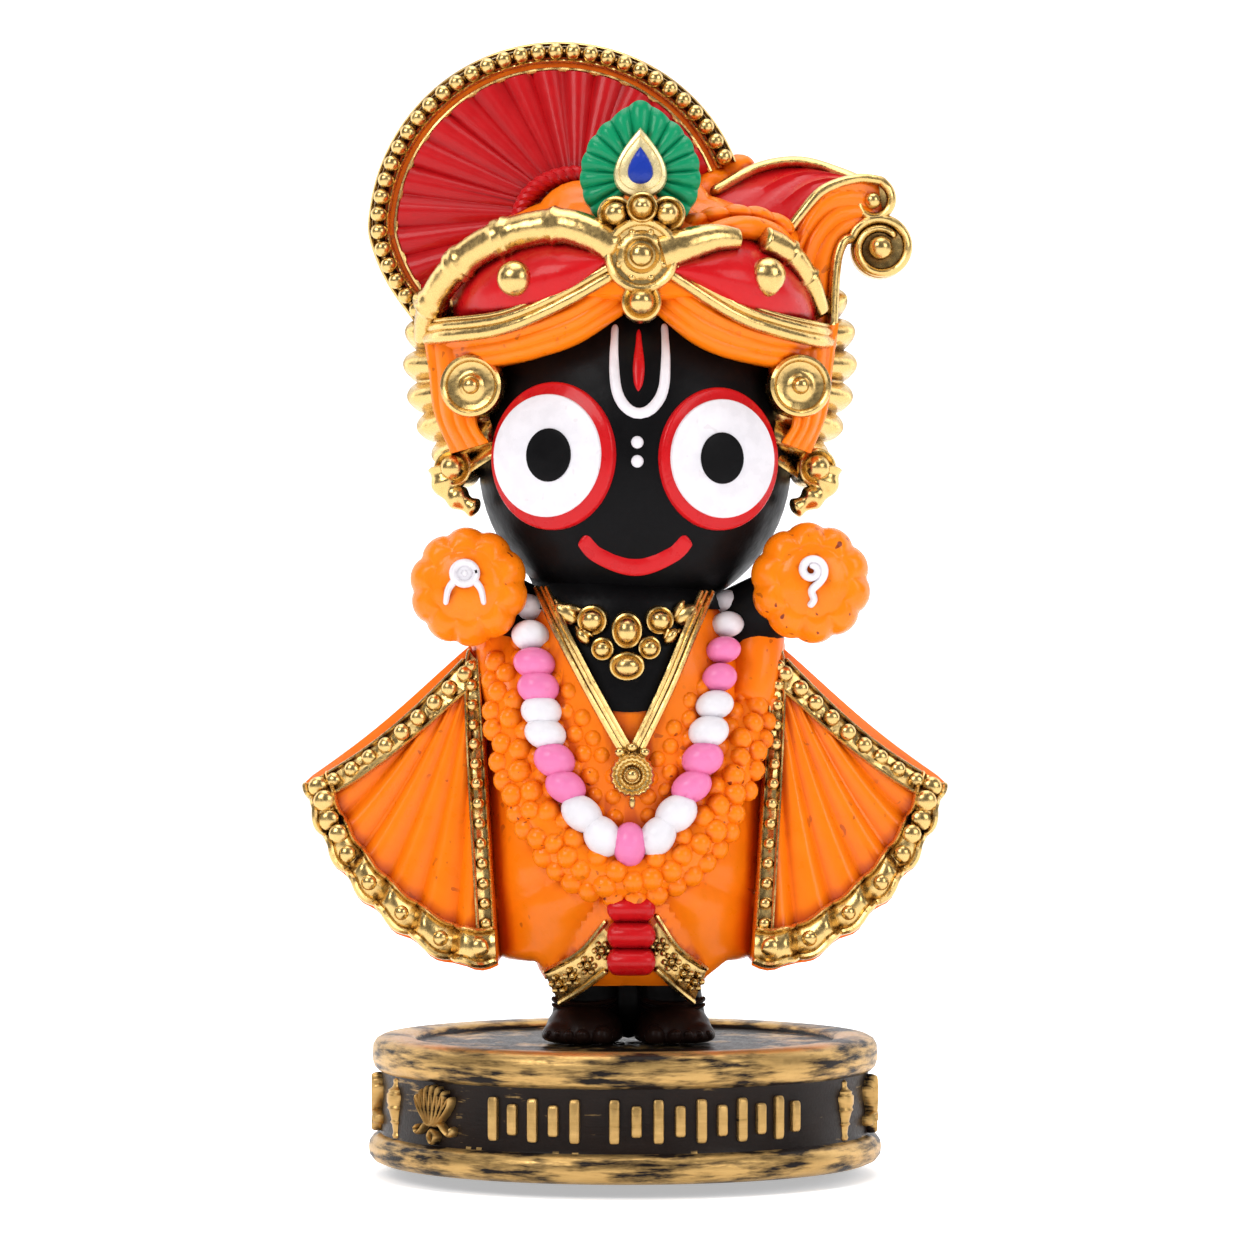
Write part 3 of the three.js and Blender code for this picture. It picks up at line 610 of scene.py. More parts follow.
def eye(x, h, size, gaze):
    """An eye on the face. Gaze is how far its pupil lies from the middle of the white."""
    seat = np.array(on_face(x, h))
    tall = HEAD["up"] if h > HEAD["h"] else HEAD["down"]
    normal = unit(
        np.array([(x - HEAD["x"]) / HEAD["wide"] ** 2, (seat[1] - HEAD["y"]) / HEAD["deep"] ** 2, (h - HEAD["h"]) / tall**2])
    )
    dome = lambda r: -0.72 * (15.5 - math.sqrt(15.5**2 - r * r))

    def disc(radius, rise, edge, sunk=2.6, groove=None):
        fall = [(radius, dome(radius) - sunk)]
        steps = np.linspace(0, math.pi / 2, 6)
        fall += [(radius - edge * (1 - math.cos(a)), dome(radius) + rise - edge * (1 - math.sin(a))) for a in steps]
        top = [(r, dome(r) + rise - (0.16 * math.exp(-(((r - groove) / 0.18) ** 2)) if groove else 0))
               for r in np.linspace(radius - edge, 0, 15)[1:]]
        return [(0, fall[0][1]), *fall, *top]

    across = unit(np.cross((0, 0, 1.0), normal))
    turned("red", seat, disc(size, 0.5, 0.35, groove=size - 0.62), normal, 72, squash=0.97)
    turned("white", seat - 0.1 * across, disc(0.83 * size, 0.78, 0.18), normal, 64, squash=1.02)
    turned("skin black", seat + gaze * across, disc(0.36 * size, 0.98, 0.16), normal, 40, squash=0.97)


eye(-7.7, 58.0, 7.25, 0.65)
eye(9.8, 57.7, 7.0, -0.75)

swell = lambda low, high: (lambda t: low + (high - low) * np.sin(math.pi * t))
smile = [on_face(x, h) for x, h in ((-4.1, 50.1), (-2.5, 48.5), (1.1, 47.4), (4.6, 48.6), (6.1, 50.1))]
tube("red", smile, swell(0.92, 1.16), swell(0.3, 0.4), 40, 12, round_end=0.04)
brow = [(-0.95, 70.9), (-1.05, 66.8), (-0.75, 64.1), (0.2, 62.5), (1.4, 62.0), (2.6, 62.5), (3.65, 64.1), (3.95, 66.8),
        (3.85, 71.0)]
tube("white", [on_face(x, h) for x, h in brow], swell(0.36, 0.55), 0.3, 50, 10, round_end=0.03)
streak = [on_face(x, h) for x, h in ((1.35, 70.4), (1.35, 67.0), (1.3, 64.2))]
tube("red", streak, lambda t: 0.24 + 0.34 * np.sin(math.pi * t**1.7), 0.22, 20, 10, round_end=0.12)
for h in (59.2, 57.35):
    egg("white", on_face(1.2, h), (0.62, 0.4, 0.62), 16, 10)
print("head and face:", len(casting), "forms")

# %% [markdown]
# ## Turban
# A dome of cloth over the brow. On its front lie two padded red leaves, and round them run a segmented gilt horn
# above, a double gilt roll below and a folded orange band against the forehead. The leaves are pillows between
# two smooth lines: they swell in the middle and are pinched shut at their points.

# %% Turban front
TURBAN = {"x": 0.9, "y": 0.0, "h": 73.6, "wide": 18.8, "deep": 16.8, "up": 11.8, "down": 1.2}


def turban_y(x, h):
    inside = 1 - ((x - TURBAN["x"]) / TURBAN["wide"]) ** 2 - ((h - TURBAN["h"]) / TURBAN["up"]) ** 2
    return TURBAN["y"] - TURBAN["deep"] * np.sqrt(np.maximum(0, inside))


def on_turban(x, h, proud=0.0):
    return (x, float(turban_y(x, h)) - proud, h)


def between(low, high, bulge, pleats=0.0, folds=0.0, edge=0.35):
    """A surface between two lines that bulges towards its front, with folds along it."""
    low, high = smooth_line(low), smooth_line(high)

    def surface(u, v):
        a, b = low(u), high(u)
        p = a + (b - a) * v[..., None]
        lift = bulge * np.sin(math.pi * np.clip(v, 0, 1)) ** edge * np.minimum(1, 6 * u * (1 - u) + 0.15)
        ridge = pleats * np.abs(np.sin(math.pi * folds * v)) if folds else 0
        p[..., 1] -= lift + ridge
        return p

    return surface


def behind(front, depth):
    def surface(u, v):
        p = front(u, v)
        p[..., 1] += depth
        return p
    return surface


def spread(count):
    return np.linspace(0, 1, count + 1)


egg("orange", (TURBAN["x"], TURBAN["y"], TURBAN["h"]), [TURBAN[k] for k in ("wide", "deep", "up", "down")], 56, 24)


behind_head = np.linspace(math.radians(-14), math.radians(194), 40)
for paint, lift, size, out in (("orange", 0.0, 1.25, 0.0), ("gold", 1.15, 0.4, 0.25)):
    roll = np.stack([0.9 + (18.3 + out) * np.cos(behind_head), (16.2 + out) * np.sin(behind_head), 73.4 + lift + 0 * behind_head], axis=-1)
    tube(paint, roll, size, None, 90, 12, face=(0, 0, 1), round_end=0.02)


def padded_leaf(low, high, bulge):
    """A pillow on the turban between a lower and an upper line, each a list of x and h."""
    low = [on_turban(x, h, 0.3) for x, h in low]
    high = [on_turban(x, h, 0.3) for x, h in high]
    low_line, high_line = smooth_line(low), smooth_line(high)

    def front(u, v):
        a, b = low_line(u), high_line(u)
        p = a + (b - a) * v[..., None]
        lift = bulge * np.sqrt(np.sin(math.pi * np.clip(v, 0.02, 0.98)))
        p[..., 1] = turban_y(p[..., 0], p[..., 2]) - 0.2 - lift * np.sin(math.pi * np.clip(u, 0.03, 0.97)) ** 0.45
        return p

    def back(u, v):
        p = front(u, v)
        p[..., 1] = turban_y(p[..., 0], p[..., 2]) + 1.6
        return p

    slab("red", front, back, spread(36), spread(18))


padded_leaf(
    [(-18.2, 70.9), (-12.2, 71.0), (-6.3, 73.2), (-1.6, 76.5)],
    [(-18.1, 72.4), (-14.3, 77.4), (-8.3, 79.2), (-3.4, 78.0), (-1.5, 77.0)],
    2.5,
)
padded_leaf(
    [(4.6, 75.6), (7.3, 74.4), (11.2, 72.3), (16.1, 70.9), (19.2, 70.4)],
    [(4.6, 76.2), (7.4, 77.6), (11.4, 79.2), (15.6, 77.6), (18.6, 73.8), (19.3, 71.6)],
    2.4,
)
cap = [(0, -2.5), (1.75, -2.5), (1.75, 0.1), (1.72, 0.35), (1.6, 0.75), (1.35, 1.15), (0.95, 1.5), (0.5, 1.68), (0, 1.74)]
turned("gold", on_turban(-10.7, 75.1, 2.6), cap, (-0.25, -1, 0.1), 28)
turned("gold", on_turban(13.9, 75.5, 2.4), cap, (0.4, -1, 0.1), 28, outline=lambda a: 1 + 0.22 * np.maximum(0, -np.sin(a)) ** 8)


def horn(points, size, cuffs, count=110):
    """A gilt horn with raised cuffs at the given places along it."""
    def wide(t):
        return size(t) + sum((0.3 * np.exp(-(((t - c) / 0.013) ** 2)) for c in cuffs), 0 * t)
    tube("gold", points, wide, wide, count, 16, round_end=0.03)


horn(
    [(-19.9, -3.4, 69.6), (-19.3, -6.6, 72.4), (-17.9, -9.2, 75.0), (-15.0, -11.6, 77.8), (-11.2, -13.4, 79.5),
     (-6.3, -15.0, 80.2), (-3.0, -15.8, 79.2), (-0.6, -16.0, 77.6)],
    lambda t: 1.2 + 0.6 * np.sin(math.pi * np.clip(t * 0.62, 0, 1)),
    (0.17, 0.2, 0.37, 0.4, 0.56, 0.59, 0.76),
)
horn(
    [(3.4, -16.0, 77.5), (5.8, -15.9, 78.2), (8.6, -15.2, 79.0), (11.2, -14.2, 79.0)],
    lambda t: 1.95 - 0.9 * t**1.6,
    (),
)
horn(
    [(13.4, -12.6, 79.2), (16.0, -10.8, 78.0), (18.1, -8.2, 75.4), (19.3, -5.8, 72.4)],
    lambda t: 1.35 - 0.35 * t,
    (0.3, 0.6),
    60,
)


def gilt_rolls(points):
    """Two rolls side by side, with a fine line above them."""
    line = np.array(points, float)
    for lift, size, proud in ((-0.62, 0.72, 0.0), (0.35, 0.52, 0.15), (0.98, 0.26, 0.1)):
        rope = line.copy()
        rope[:, 2] += lift
        rope[:, 1] -= proud
        tube("gold", rope, lambda t, s=size: s * (1.06 - 0.3 * t), None, 44, 12, round_end=0.02)


gilt_rolls([(-20.3, -2.0, 70.6), (-18.0, -8.7, 70.5), (-12.2, -13.9, 70.9), (-6.9, -16.0, 72.9), (-1.2, -16.7, 76.0)])
gilt_rolls([(20.9, -1.5, 70.2), (19.2, -7.8, 70.1), (15.0, -12.3, 70.8), (10.6, -14.9, 72.3), (4.3, -16.6, 76.2)])

cloth_left = between(
    [(-0.2, -13.4, 71.8), (-4.4, -13.6, 69.0), (-8.3, -12.6, 67.7), (-11.9, -10.6, 67.0), (-17.2, -5.6, 66.2)],
    [(-0.2, -15.3, 76.2), (-4.4, -15.2, 73.6), (-8.3, -14.2, 72.0), (-12.6, -12.0, 70.8), (-19.0, -6.2, 70.2)],
    1.0, 0.3, 3.5,
)
cloth_right = between(
    [(3.2, -13.4, 71.8), (6.3, -13.7, 69.2), (9.3, -12.8, 67.8), (13.2, -10.6, 67.0), (18.2, -5.4, 66.2)],
    [(3.2, -15.3, 76.2), (7.3, -14.8, 73.6), (11.2, -13.4, 71.7), (15.4, -10.8, 70.4), (20.2, -5.4, 69.8)],
    1.0, 0.3, 3.5,
)
slab("orange", cloth_left, behind(cloth_left, 4.5), spread(44), spread(21))
slab("orange", cloth_right, behind(cloth_right, 4.5), spread(44), spread(21))
print("turban:", len(casting), "forms so far")

# %% [markdown]
# ## Brooch and feather
# Over the brow sits a turned brooch with a ball in the middle, a cup below it and three cups above. The eye of a
# peacock's feather stands behind it: a green fan of rounded ribs with a gilt drop and a blue drop on it. The ribs
# are one ripple round the feather's middle that also scallops its outline.

# %% Brooch and feather
BROOCH = {"x": 1.6, "y": -16.9, "h": 77.3}
ring_boss = lambda r: [
    (0, -4), (r, -4), (r * 1.01, 0), (r * 0.97, 0.34), (r * 0.9, 0.52), (r * 0.82, 0.42), (r * 0.76, 0.16),
    (r * 0.66, 0.1), (r * 0.58, 0.34), (r * 0.5, 0.46), (r * 0.43, 0.32), (r * 0.37, 0.14),
    (r * 0.32, 0.18), (r * 0.3, 0.62), (r * 0.25, 0.98), (r * 0.15, 1.22), (0, 1.3),
]
cup_boss = lambda r: [
    (0, -4), (r, -4), (r * 1.02, 0), (r * 0.97, 0.22), (r * 0.86, 0.34), (r * 0.76, 0.16), (r * 0.7, 0.05),
    (r * 0.66, 0.4), (r * 0.58, 0.85), (r * 0.4, 1.3), (r * 0.2, 1.5), (0, 1.56),
]
turned("gold", (BROOCH["x"], BROOCH["y"], BROOCH["h"]), ring_boss(3.7), segments=56)
petals = [(BROOCH["x"] + 2.35 * math.cos(a), BROOCH["y"] - 0.15, BROOCH["h"] + 2.35 * math.sin(a))
          for a in np.arange(8) * math.pi / 4 + math.pi / 8]
for spot in petals:
    egg("gold", spot, (0.36, 0.3, 0.36), 10, 6)
for dx, dh, size, lift in ((0, -4.5, 1.95, 0.2), (-2.5, 4.0, 1.75, 0.5), (2.5, 4.0, 1.75, 0.5), (0.05, 4.6, 1.5, -0.5)):
    turned("gold", (BROOCH["x"] + dx, BROOCH["y"] + lift, BROOCH["h"] + dh), cup_boss(size), segments=32)

FEATHER = {"x": 1.5, "y": -13.6, "h": 85.2, "ribs": 15, "open": math.radians(140)}


def feather_reach(angle):
    point = 0.9 * np.maximum(0, np.cos(angle)) ** 30 + 0.6 * np.maximum(0, np.cos(angle)) ** 3
    scallop = 0.16 * np.abs(np.cos(angle * FEATHER["ribs"] / (2 * FEATHER["open"]) * math.pi))
    return 5.75 + point + scallop


def feather_front(u, v):
    angle = (2 * v - 1) * FEATHER["open"]
    r = feather_reach(angle) * (0.08 + 0.92 * u)
    rib = np.abs(np.cos(angle * FEATHER["ribs"] / (2 * FEATHER["open"]) * math.pi)) ** 0.7
    lift = 0.9 * np.sqrt(np.maximum(0, 1 - u**4)) + 0.5 * rib * np.minimum(1, 1.6 * u)
    return np.stack([FEATHER["x"] + r * np.sin(angle), FEATHER["y"] - lift, FEATHER["h"] + r * np.cos(angle)], axis=-1)


def feather_back(u, v):
    p = feather_front(u, v)
    p[..., 1] = FEATHER["y"] + 2.2
    return p


slab("green", feather_front, feather_back, spread(14), spread(15 * 10))


def drop(size, y, h):
    a = np.arange(48) / 48 * 2 * math.pi
    x = size[0] * 1.3 * np.sin(a) * np.abs(np.sin(a / 2)) ** 1.1
    return np.stack([1.5 + x, np.full(48, y), h + size[1] * np.cos(a)], axis=-1)


loft("pale gold", [drop((2.6, 3.4), -13.5, 86.4), drop((2.65, 3.45), -15.1, 86.4), drop((2.5, 3.25), -15.5, 86.4),
                   drop((2.2, 2.8), -15.6, 86.4), drop((2.1, 2.65), -15.4, 86.4), drop((1.4, 1.9), -15.6, 86.3)])
loft("blue", [drop((1.25, 1.8), -15.0, 86.1), drop((1.25, 1.8), -15.75, 86.1), drop((1.1, 1.5), -15.95, 86.1),
              drop((0.5, 0.8), -16.05, 86.1)])
print("brooch and feather:", len(casting), "forms so far")

# %% [markdown]
# ## Fan
# The turban's fan is a half disc of pleated cloth. Its pleats run from a hub to the rim, so each one is a knife
# fold whose depth grows with the distance from the hub. Round it go a fine gilt line, an orange strip and a gilt
# band with a bead row, and a plaited red ring and an orange knot hide the hub.

# %% Fan
FAN = {"x": -6.6, "y": 1.4, "h": 80.8, "beads": 18.15, "pleats": 17, "from": math.radians(22), "to": math.radians(211)}
HUB = np.array([-4.9, -2.6, 82.3])


def fan_spot(r, angle, y):
    """A spot on the fan. Its rim turns in a little where it runs down beside the turban."""
    r = r * (1 - 0.11 * np.clip((angle - math.pi) / 0.5, 0, 1))
    return np.stack([FAN["x"] + r * np.cos(angle), y + 0 * angle, FAN["h"] + r * np.sin(angle)], axis=-1)


def fan_angle(v):
    return FAN["from"] + (FAN["to"] - FAN["from"]) * v


def fan_front(u, v):
    rim = fan_spot(16.2, fan_angle(v), FAN["y"])
    p = HUB + (rim - HUB) * (0.1 + 0.9 * u)[..., None]
    pleat = np.abs(np.sin(v * FAN["pleats"] * math.pi)) ** 0.75
    p[..., 1] -= 0.2 + 0.95 * u * pleat
    return p


def fan_back(u, v):
    p = fan_front(u, v)
    p[..., 1] = FAN["y"] + 2.5
    return p


slab("fan red", fan_front, fan_back, spread(12), spread(160))


def fan_board(u, v):
    return fan_spot(3 + 14.6 * u, fan_angle(v), FAN["y"] - 0.2 - 0.35 * np.sin(math.pi * u) * (u > 0.5))


def fan_board_back(u, v):
    ripple = 0.45 * np.abs(np.sin(v * 20 * math.pi)) * u
    return fan_spot(3 + 14.6 * u, fan_angle(v), FAN["y"] + 4.4) + np.stack([0 * u, ripple, 0 * u], axis=-1)


slab("orange", fan_board, fan_board_back, spread(10), spread(140))
arc = lambda r, y, low=0.0, high=1.0: [tuple(p) for p in fan_spot(r, fan_angle(np.linspace(low, high, 25)), y)]
tube("gold", arc(18.15, FAN["y"] + 2.5), 0.9, 2.9, 140, 12, round_end=0.015)
tube("gold", arc(19.0, FAN["y"] + 0.3), 0.22, 0.5, 140, 8)
tube("gold", arc(16.35, FAN["y"] - 0.35), 0.26, 0.35, 140, 8)
tube("gold", arc(17.2, FAN["y"] - 0.35), 0.2, 0.4, 140, 8)
beads("gold", arc(FAN["beads"], FAN["y"] - 0.55, 0.014, 0.986), 34, 0.84, 1.0, 14)

PLAIT = {"x": -4.9, "y": -4.0, "h": 81.7, "wide": 5.5, "tall": 4.5, "turns": 13}
for strand in range(3):
    a = np.linspace(math.radians(8), math.radians(215), 150)
    twist = a * PLAIT["turns"] + strand * 2 * math.pi / 3
    swing = 0.46 * np.cos(twist)
    rope = np.stack(
        [
            PLAIT["x"] + (PLAIT["wide"] + swing) * np.cos(a),
            PLAIT["y"] + 0.46 * np.sin(twist) + 0.4,
            PLAIT["h"] + (PLAIT["tall"] + swing) * np.sin(a),
        ],
        axis=-1,
    )
    tube("red", rope[::3], 0.5, None, 150, 8, round_end=0.01)
egg("orange", (-4.2, -4.4, 80.7), (5.0, 4.8, 4.9), 32, 18)

# %% Folds between the feather and the cloth end
egg("orange", (5.8, -3.2, 80.4), (3.5, 5.8, 5.6), 28, 16)
egg("orange", (8.8, 1.8, 84.4), (2.5, 1.8, 3.0), 24, 14, turn=-0.4)
egg("orange", (12.6, -4.4, 79.2), (5.0, 5.0, 3.0), 28, 14)
for k, (x, h) in enumerate(((4.4, 79.9), (6.6, 80.9), (8.8, 81.6), (11.0, 81.9), (13.2, 81.7), (15.2, 81.0))):
    egg("orange", (x, -11.6 + 0.75 * k, h), (1.7, 1.7, 0.95), 18, 10, turn=0.5 - 0.2 * k)
tube("orange", [(7.6, -13.0, 79.2), (11.2, -12.0, 80.3), (14.4, -9.8, 79.8), (16.8, -7.4, 77.6)], 1.2, 1.4, 30, 12, round_end=0.08)
print("fan:", len(casting), "forms so far")

# %% [markdown]
# ## Cloth end of the turban
# At one side the cloth flares up like a trumpet: a red inside between a far and a near rim, an orange outside
# below it, and gilt rims that curl into two scrolls round little balls. The cloth is two plates between smooth
# lines, and the scrolls are tubes along a spiral that closes in.

# %% Flared cloth end
RIMS = {
    "far": [(8.6, -0.6, 84.6), (13.2, 1.2, 87.2), (17.5, 1.6, 87.9), (21.6, 0.8, 86.7), (25.0, -1.4, 85.0)],
    "near": [(15.6, -4.9, 79.6), (17.4, -5.2, 82.0), (19.6, -4.9, 84.5), (22.8, -4.2, 85.7), (25.2, -3.4, 85.4)],
    "brim": [(14.8, -5.0, 73.0), (16.4, -5.8, 78.6), (19.4, -5.4, 83.6), (23.0, -4.4, 84.6), (25.4, -3.4, 83.8)],
    "stem": [(17.6, -5.4, 70.6), (17.8, -5.6, 77.6), (20.4, -5.0, 81.6), (23.4, -4.2, 82.4), (25.8, -3.4, 81.6)],
    "lower": [(20.3, -4.2, 70.6), (20.7, -4.2, 77.4), (22.0, -3.8, 80.0), (24.0, -3.2, 80.9), (26.0, -3.0, 80.6)],
}


def cloth(names, folds):
    lines = [smooth_line(RIMS[n]) for n in names]

    def surface(u, v):
        at = np.clip(v * (len(lines) - 1), 0, len(lines) - 1 - 1e-6)
        first = at.astype(int)
        rows = np.stack([line(u) for line in lines])
        low = np.take_along_axis(rows, first[None, ..., None], 0)[0]
        high = np.take_along_axis(rows, first[None, ..., None] + 1, 0)[0]
        p = low + (high - low) * (at - first)[..., None]
        p[..., 1] -= folds * np.sin(math.pi * u) * np.abs(np.sin(v * 3 * math.pi))
        return p

    return surface


red_inside, orange_outside = cloth(("far", "near"), -0.8), cloth(("brim", "stem", "lower"), 0.5)
slab("red", red_inside, behind(red_inside, 2.2), spread(24), spread(12))
slab("orange", orange_outside, behind(orange_outside, 2.6), spread(30), spread(18))
lip = cloth(("near", "brim"), 0.2)
slab("orange", lip, behind(lip, 1.5), spread(24), spread(4))
tube("gold", RIMS["far"], 0.62, 0.9, 44, 12, round_end=0.03)


def curl(lead, centre, size, turns, thick, start, way):
    """A gilt rim that runs in along a lead and winds round a ball."""
    a = start + way * np.linspace(0, turns * 2 * math.pi, int(22 * turns))
    r = size * (1 - 0.42 * np.linspace(0, 1, len(a)))
    spiral = np.stack([centre[0] + r * np.cos(a), np.full(len(a), centre[1]) - 0.15, centre[2] + r * np.sin(a)], axis=-1)
    path = [*lead, *spiral[:: max(1, len(a) // 20)]]
    tube("gold", path, lambda t: thick * (1 - 0.3 * t), lambda t: thick * (1.25 - 0.3 * t), 120, 12, round_end=0.02)
    turned("gold", centre, [(0, -3.2), (size * 0.95, -3.2), (size * 0.95, -0.3), (size * 0.6, -0.5), (0, -0.5)], segments=32)
    egg("gold", (centre[0], centre[1] - 0.5, centre[2]), (size * 0.4, size * 0.42, size * 0.4), 20, 12)


curl(RIMS["near"][:4], (24.6, -3.6, 83.6), 2.1, 0.8, 0.62, math.radians(75), -1)
curl([(20.5, -4.6, 70.4), (20.9, -4.6, 77.0), (21.6, -4.4, 79.4)], (25.4, -3.6, 78.9), 3.1, 1.35, 0.6, math.radians(160), -1)
egg("orange", (11.2, 2.7, 87.2), (2.0, 1.4, 1.6), 20, 12, turn=0.3)
print("cloth end:", len(casting), "forms so far")

# %% [markdown]
# ## Sides of the head
# Beside each cheek hangs a flap of orange cloth with a gilt disc on it, and behind the flap a gilt frill stands
# out in sharp teeth that get smaller towards the jaw, where it ends in a knob and a hook. The frill is one plate
# round the head whose outer edge runs in and out, so its ridges reach from the flap to the teeth.

# %% Frill, flap, disc, knob and hook
DISC = [
    (0, -4), (3.1, -4), (3.14, 0.05), (3.02, 0.42), (2.75, 0.58), (2.5, 0.46), (2.34, 0.14), (1.9, 0.02), (1.5, 0.02),
    (1.2, 0.1), (1.02, 0.28), (0.86, 0.34), (0.8, 0.62), (0.62, 0.9), (0.34, 1.06), (0, 1.1),
]


def frill(side):
    teeth = 6.5

    def edge(v):
        return np.abs(np.sin(math.pi * v * teeth)) ** 0.7

    def at(r, angle, y):
        return np.stack([0.5 + side * r * np.cos(angle), y, 66.4 + r * np.sin(angle)], axis=-1)

    def front(u, v):
        angle = np.radians(24 - 56 * v)
        tip = 21.5 + 1.45 * edge(v) - 2.2 * v**2
        r = 14.6 + (tip - 14.6) * u
        y = -6.4 + 5.4 * u**2.2 - v * (1 - u) - 1.9 * edge(v) * np.sqrt(u)
        return at(r, angle, y)

    def back(u, v):
        p = front(u, v)
        p[..., 1] = 5.2 - 1.4 * u
        return p

    slab("gold", front, back, spread(10), spread(103))


def flap(side, outer, inner):
    lines = between(inner, outer, 0.7, 0.35, 3.5)
    slab("orange", lines, behind(lines, 5.5), spread(34), spread(21))


for side in (-1, 1):
    frill(side)
flap(-1,
     [(-20.3, -4.6, 71.8), (-19.5, -5.4, 67.0), (-18.9, -5.6, 62.4), (-17.2, -6.2, 58.4)],
     [(-12.2, -9.8, 69.4), (-13.8, -9.2, 65.0), (-14.6, -8.8, 61.6), (-13.4, -9.8, 59.4)])
flap(1,
     [(21.2, -4.6, 71.4), (20.6, -5.4, 67.0), (20.0, -5.6, 62.4), (18.4, -6.2, 58.4)],
     [(14.0, -9.8, 69.4), (15.6, -9.2, 65.0), (16.5, -8.8, 61.6), (15.4, -9.8, 59.4)])
for side, x in ((-1, -15.1), (1, 17.2)):
    turned("gold", (x, -9.6, 64.95), DISC, (side * 0.16, -1, 0.02), 48)
for side, x in ((-1, -17.0), (1, 19.0)):
    turned("gold", (x, -5.6, 57.0), cup_boss(1.95), (side * 0.2, -1, 0), 28)
    hook = [(x + side * 1.1, -4.6, 57.4), (x + side * 0.6, -4.9, 55.2), (x - side * 0.8, -5.4, 53.8), (x - side * 2.5, -5.8, 52.8)]
    tube("gold", hook, lambda t: 1.6 - 0.8 * t + 0.16 * np.cos(t * 20), None, 40, 14, round_end=0.08)
egg("orange", (0.7, 3.6, 65.4), (17.4, 12.8, 18.4), 56, 30)
print("sides of the head:", len(casting), "forms so far")

# %% [markdown]
# ## Trunk, neckline and jewels
# The trunk is a stack of ovals. Everything worn on the chest asks the trunk how deep it is at that place and sits
# on it, so nothing floats and nothing sinks. The black skin shows in a wedge below the chin, between the two
# sides of a chain, and the necklace is a cluster of bosses with a rim round each stone.

# %% Trunk
TRUNK = np.array([[8, 13.4, 10.6], [16, 14.4, 11.5], [28, 14.0, 11.6], [38, 12.6, 11.4], [44, 10.6, 10.4], [49, 6.0, 6.0]])


def trunk_size(h):
    return np.interp(h, TRUNK[:, 0], TRUNK[:, 1]), np.interp(h, TRUNK[:, 0], TRUNK[:, 2])


def trunk_y(x, h, proud=0.0):
    wide, deep = trunk_size(h)
    return -0.5 - deep * np.sqrt(np.maximum(0.02, 1 - (x / wide) ** 2)) - proud


def on_trunk(x, h, proud=0.0):
    return (x, float(trunk_y(x, h)) - proud, h)


def skirt_level(x, h, y):
    """The trunk's lowest ring dips towards the middle of the front, to meet the lower garment."""
    dip = np.clip((9.4 - np.abs(x - 0.6)) / 3.0, 0, 1) * (y < -0.5)
    return h - 2.4 * dip * np.clip((12 - h) / 4, 0, 1)


def trunk_ring(h):
    a = np.arange(140) / 140 * 2 * math.pi
    wide, deep = trunk_size(h)
    x, y = wide * np.cos(a), np.sin(a)
    swing = np.arctan2(20.8 - h, np.abs(x - 0.6) + 1.2)
    shade = np.clip((20.5 - h) / 3, 0, 1) * np.clip((13.2 - np.abs(x - 0.6)) / 2, 0, 1) * (y < 0)
    drawn_in = 1.6 * np.clip((14 - h) / 6, 0, 1) * np.maximum(0, -y) ** 2
    fold = 1.15 * shade * (np.abs(np.sin(swing * 6.5)) ** 0.7 - 0.5)
    tuck = 1 - 0.16 * np.clip((9.1 - h) / 1.1, 0, 1) ** 2
    x, depth = x * tuck, (deep - drawn_in + fold) * tuck
    return np.stack([x, -0.5 + depth * y, skirt_level(x, h, depth * y)], axis=-1)


loft("orange", [trunk_ring(h) for h in np.concatenate([np.linspace(8.2, 22, 34), np.linspace(23.5, 49, 12)])])
for side in (-1, 1):
    shoulder = [(side * 11.6 + 0.4, -5.0, 33.5), (side * 12.4 + 0.4, -4.6, 36.5), (side * 12.9 + 0.5, -3.8, 41.3)]
    tube("orange", shoulder, 2.6, 2.6, 30, 20, round_end=0.12)
    egg("orange", (side * 12.4 + 0.3, 1.6, 39.0), (3.4, 5.4, 3.6), 28, 16)
a = np.linspace(math.radians(8), math.radians(172), 40)
for paint, h, size, out in (("orange", 43.4, 1.0, 0.5), ("gold", 42.4, 0.35, 0.9)):
    wide, deep = trunk_size(h)
    collar = np.stack([(wide + out) * np.cos(a), -0.5 + (deep + out) * np.sin(a), h + 0 * a], axis=-1)
    tube(paint, collar, size, None, 70, 12, face=(0, 0, 1), round_end=0.03)


def skin_front(u, v):
    h = 33.4 + 13.6 * u
    left, right = -2.9 - 0.52 * (h - 33.4), 3.8 + 0.42 * (h - 33.4)
    x = left + (right - left) * v
    h = h - 0.5 * np.sin(math.pi * v) * (1 - u)
    return np.stack([x, trunk_y(x, h, 0.22), h], axis=-1)


slab("skin black", skin_front, behind(skin_front, 2.0), spread(16), spread(20))
a = np.arange(64) / 64 * 2 * math.pi
loft("skin black", [
    np.stack([(trunk_size(h)[0] + 0.2) * np.cos(a), -0.5 + (trunk_size(h)[1] + 0.2) * np.sin(a), np.full(64, h)], axis=-1)
    for h in np.linspace(43.0, 48.9, 8)
])
tube("skin black", [(-5, -1, 39.6), (-10, -4, 42.2), (-15, -6.6, 44.8)], 3.3, 3.0, 20, 20)
tube("skin black", [(7, -1, 39.6), (12, -4, 42.2), (18, -6.6, 45.0)], 3.4, 3.0, 20, 20)

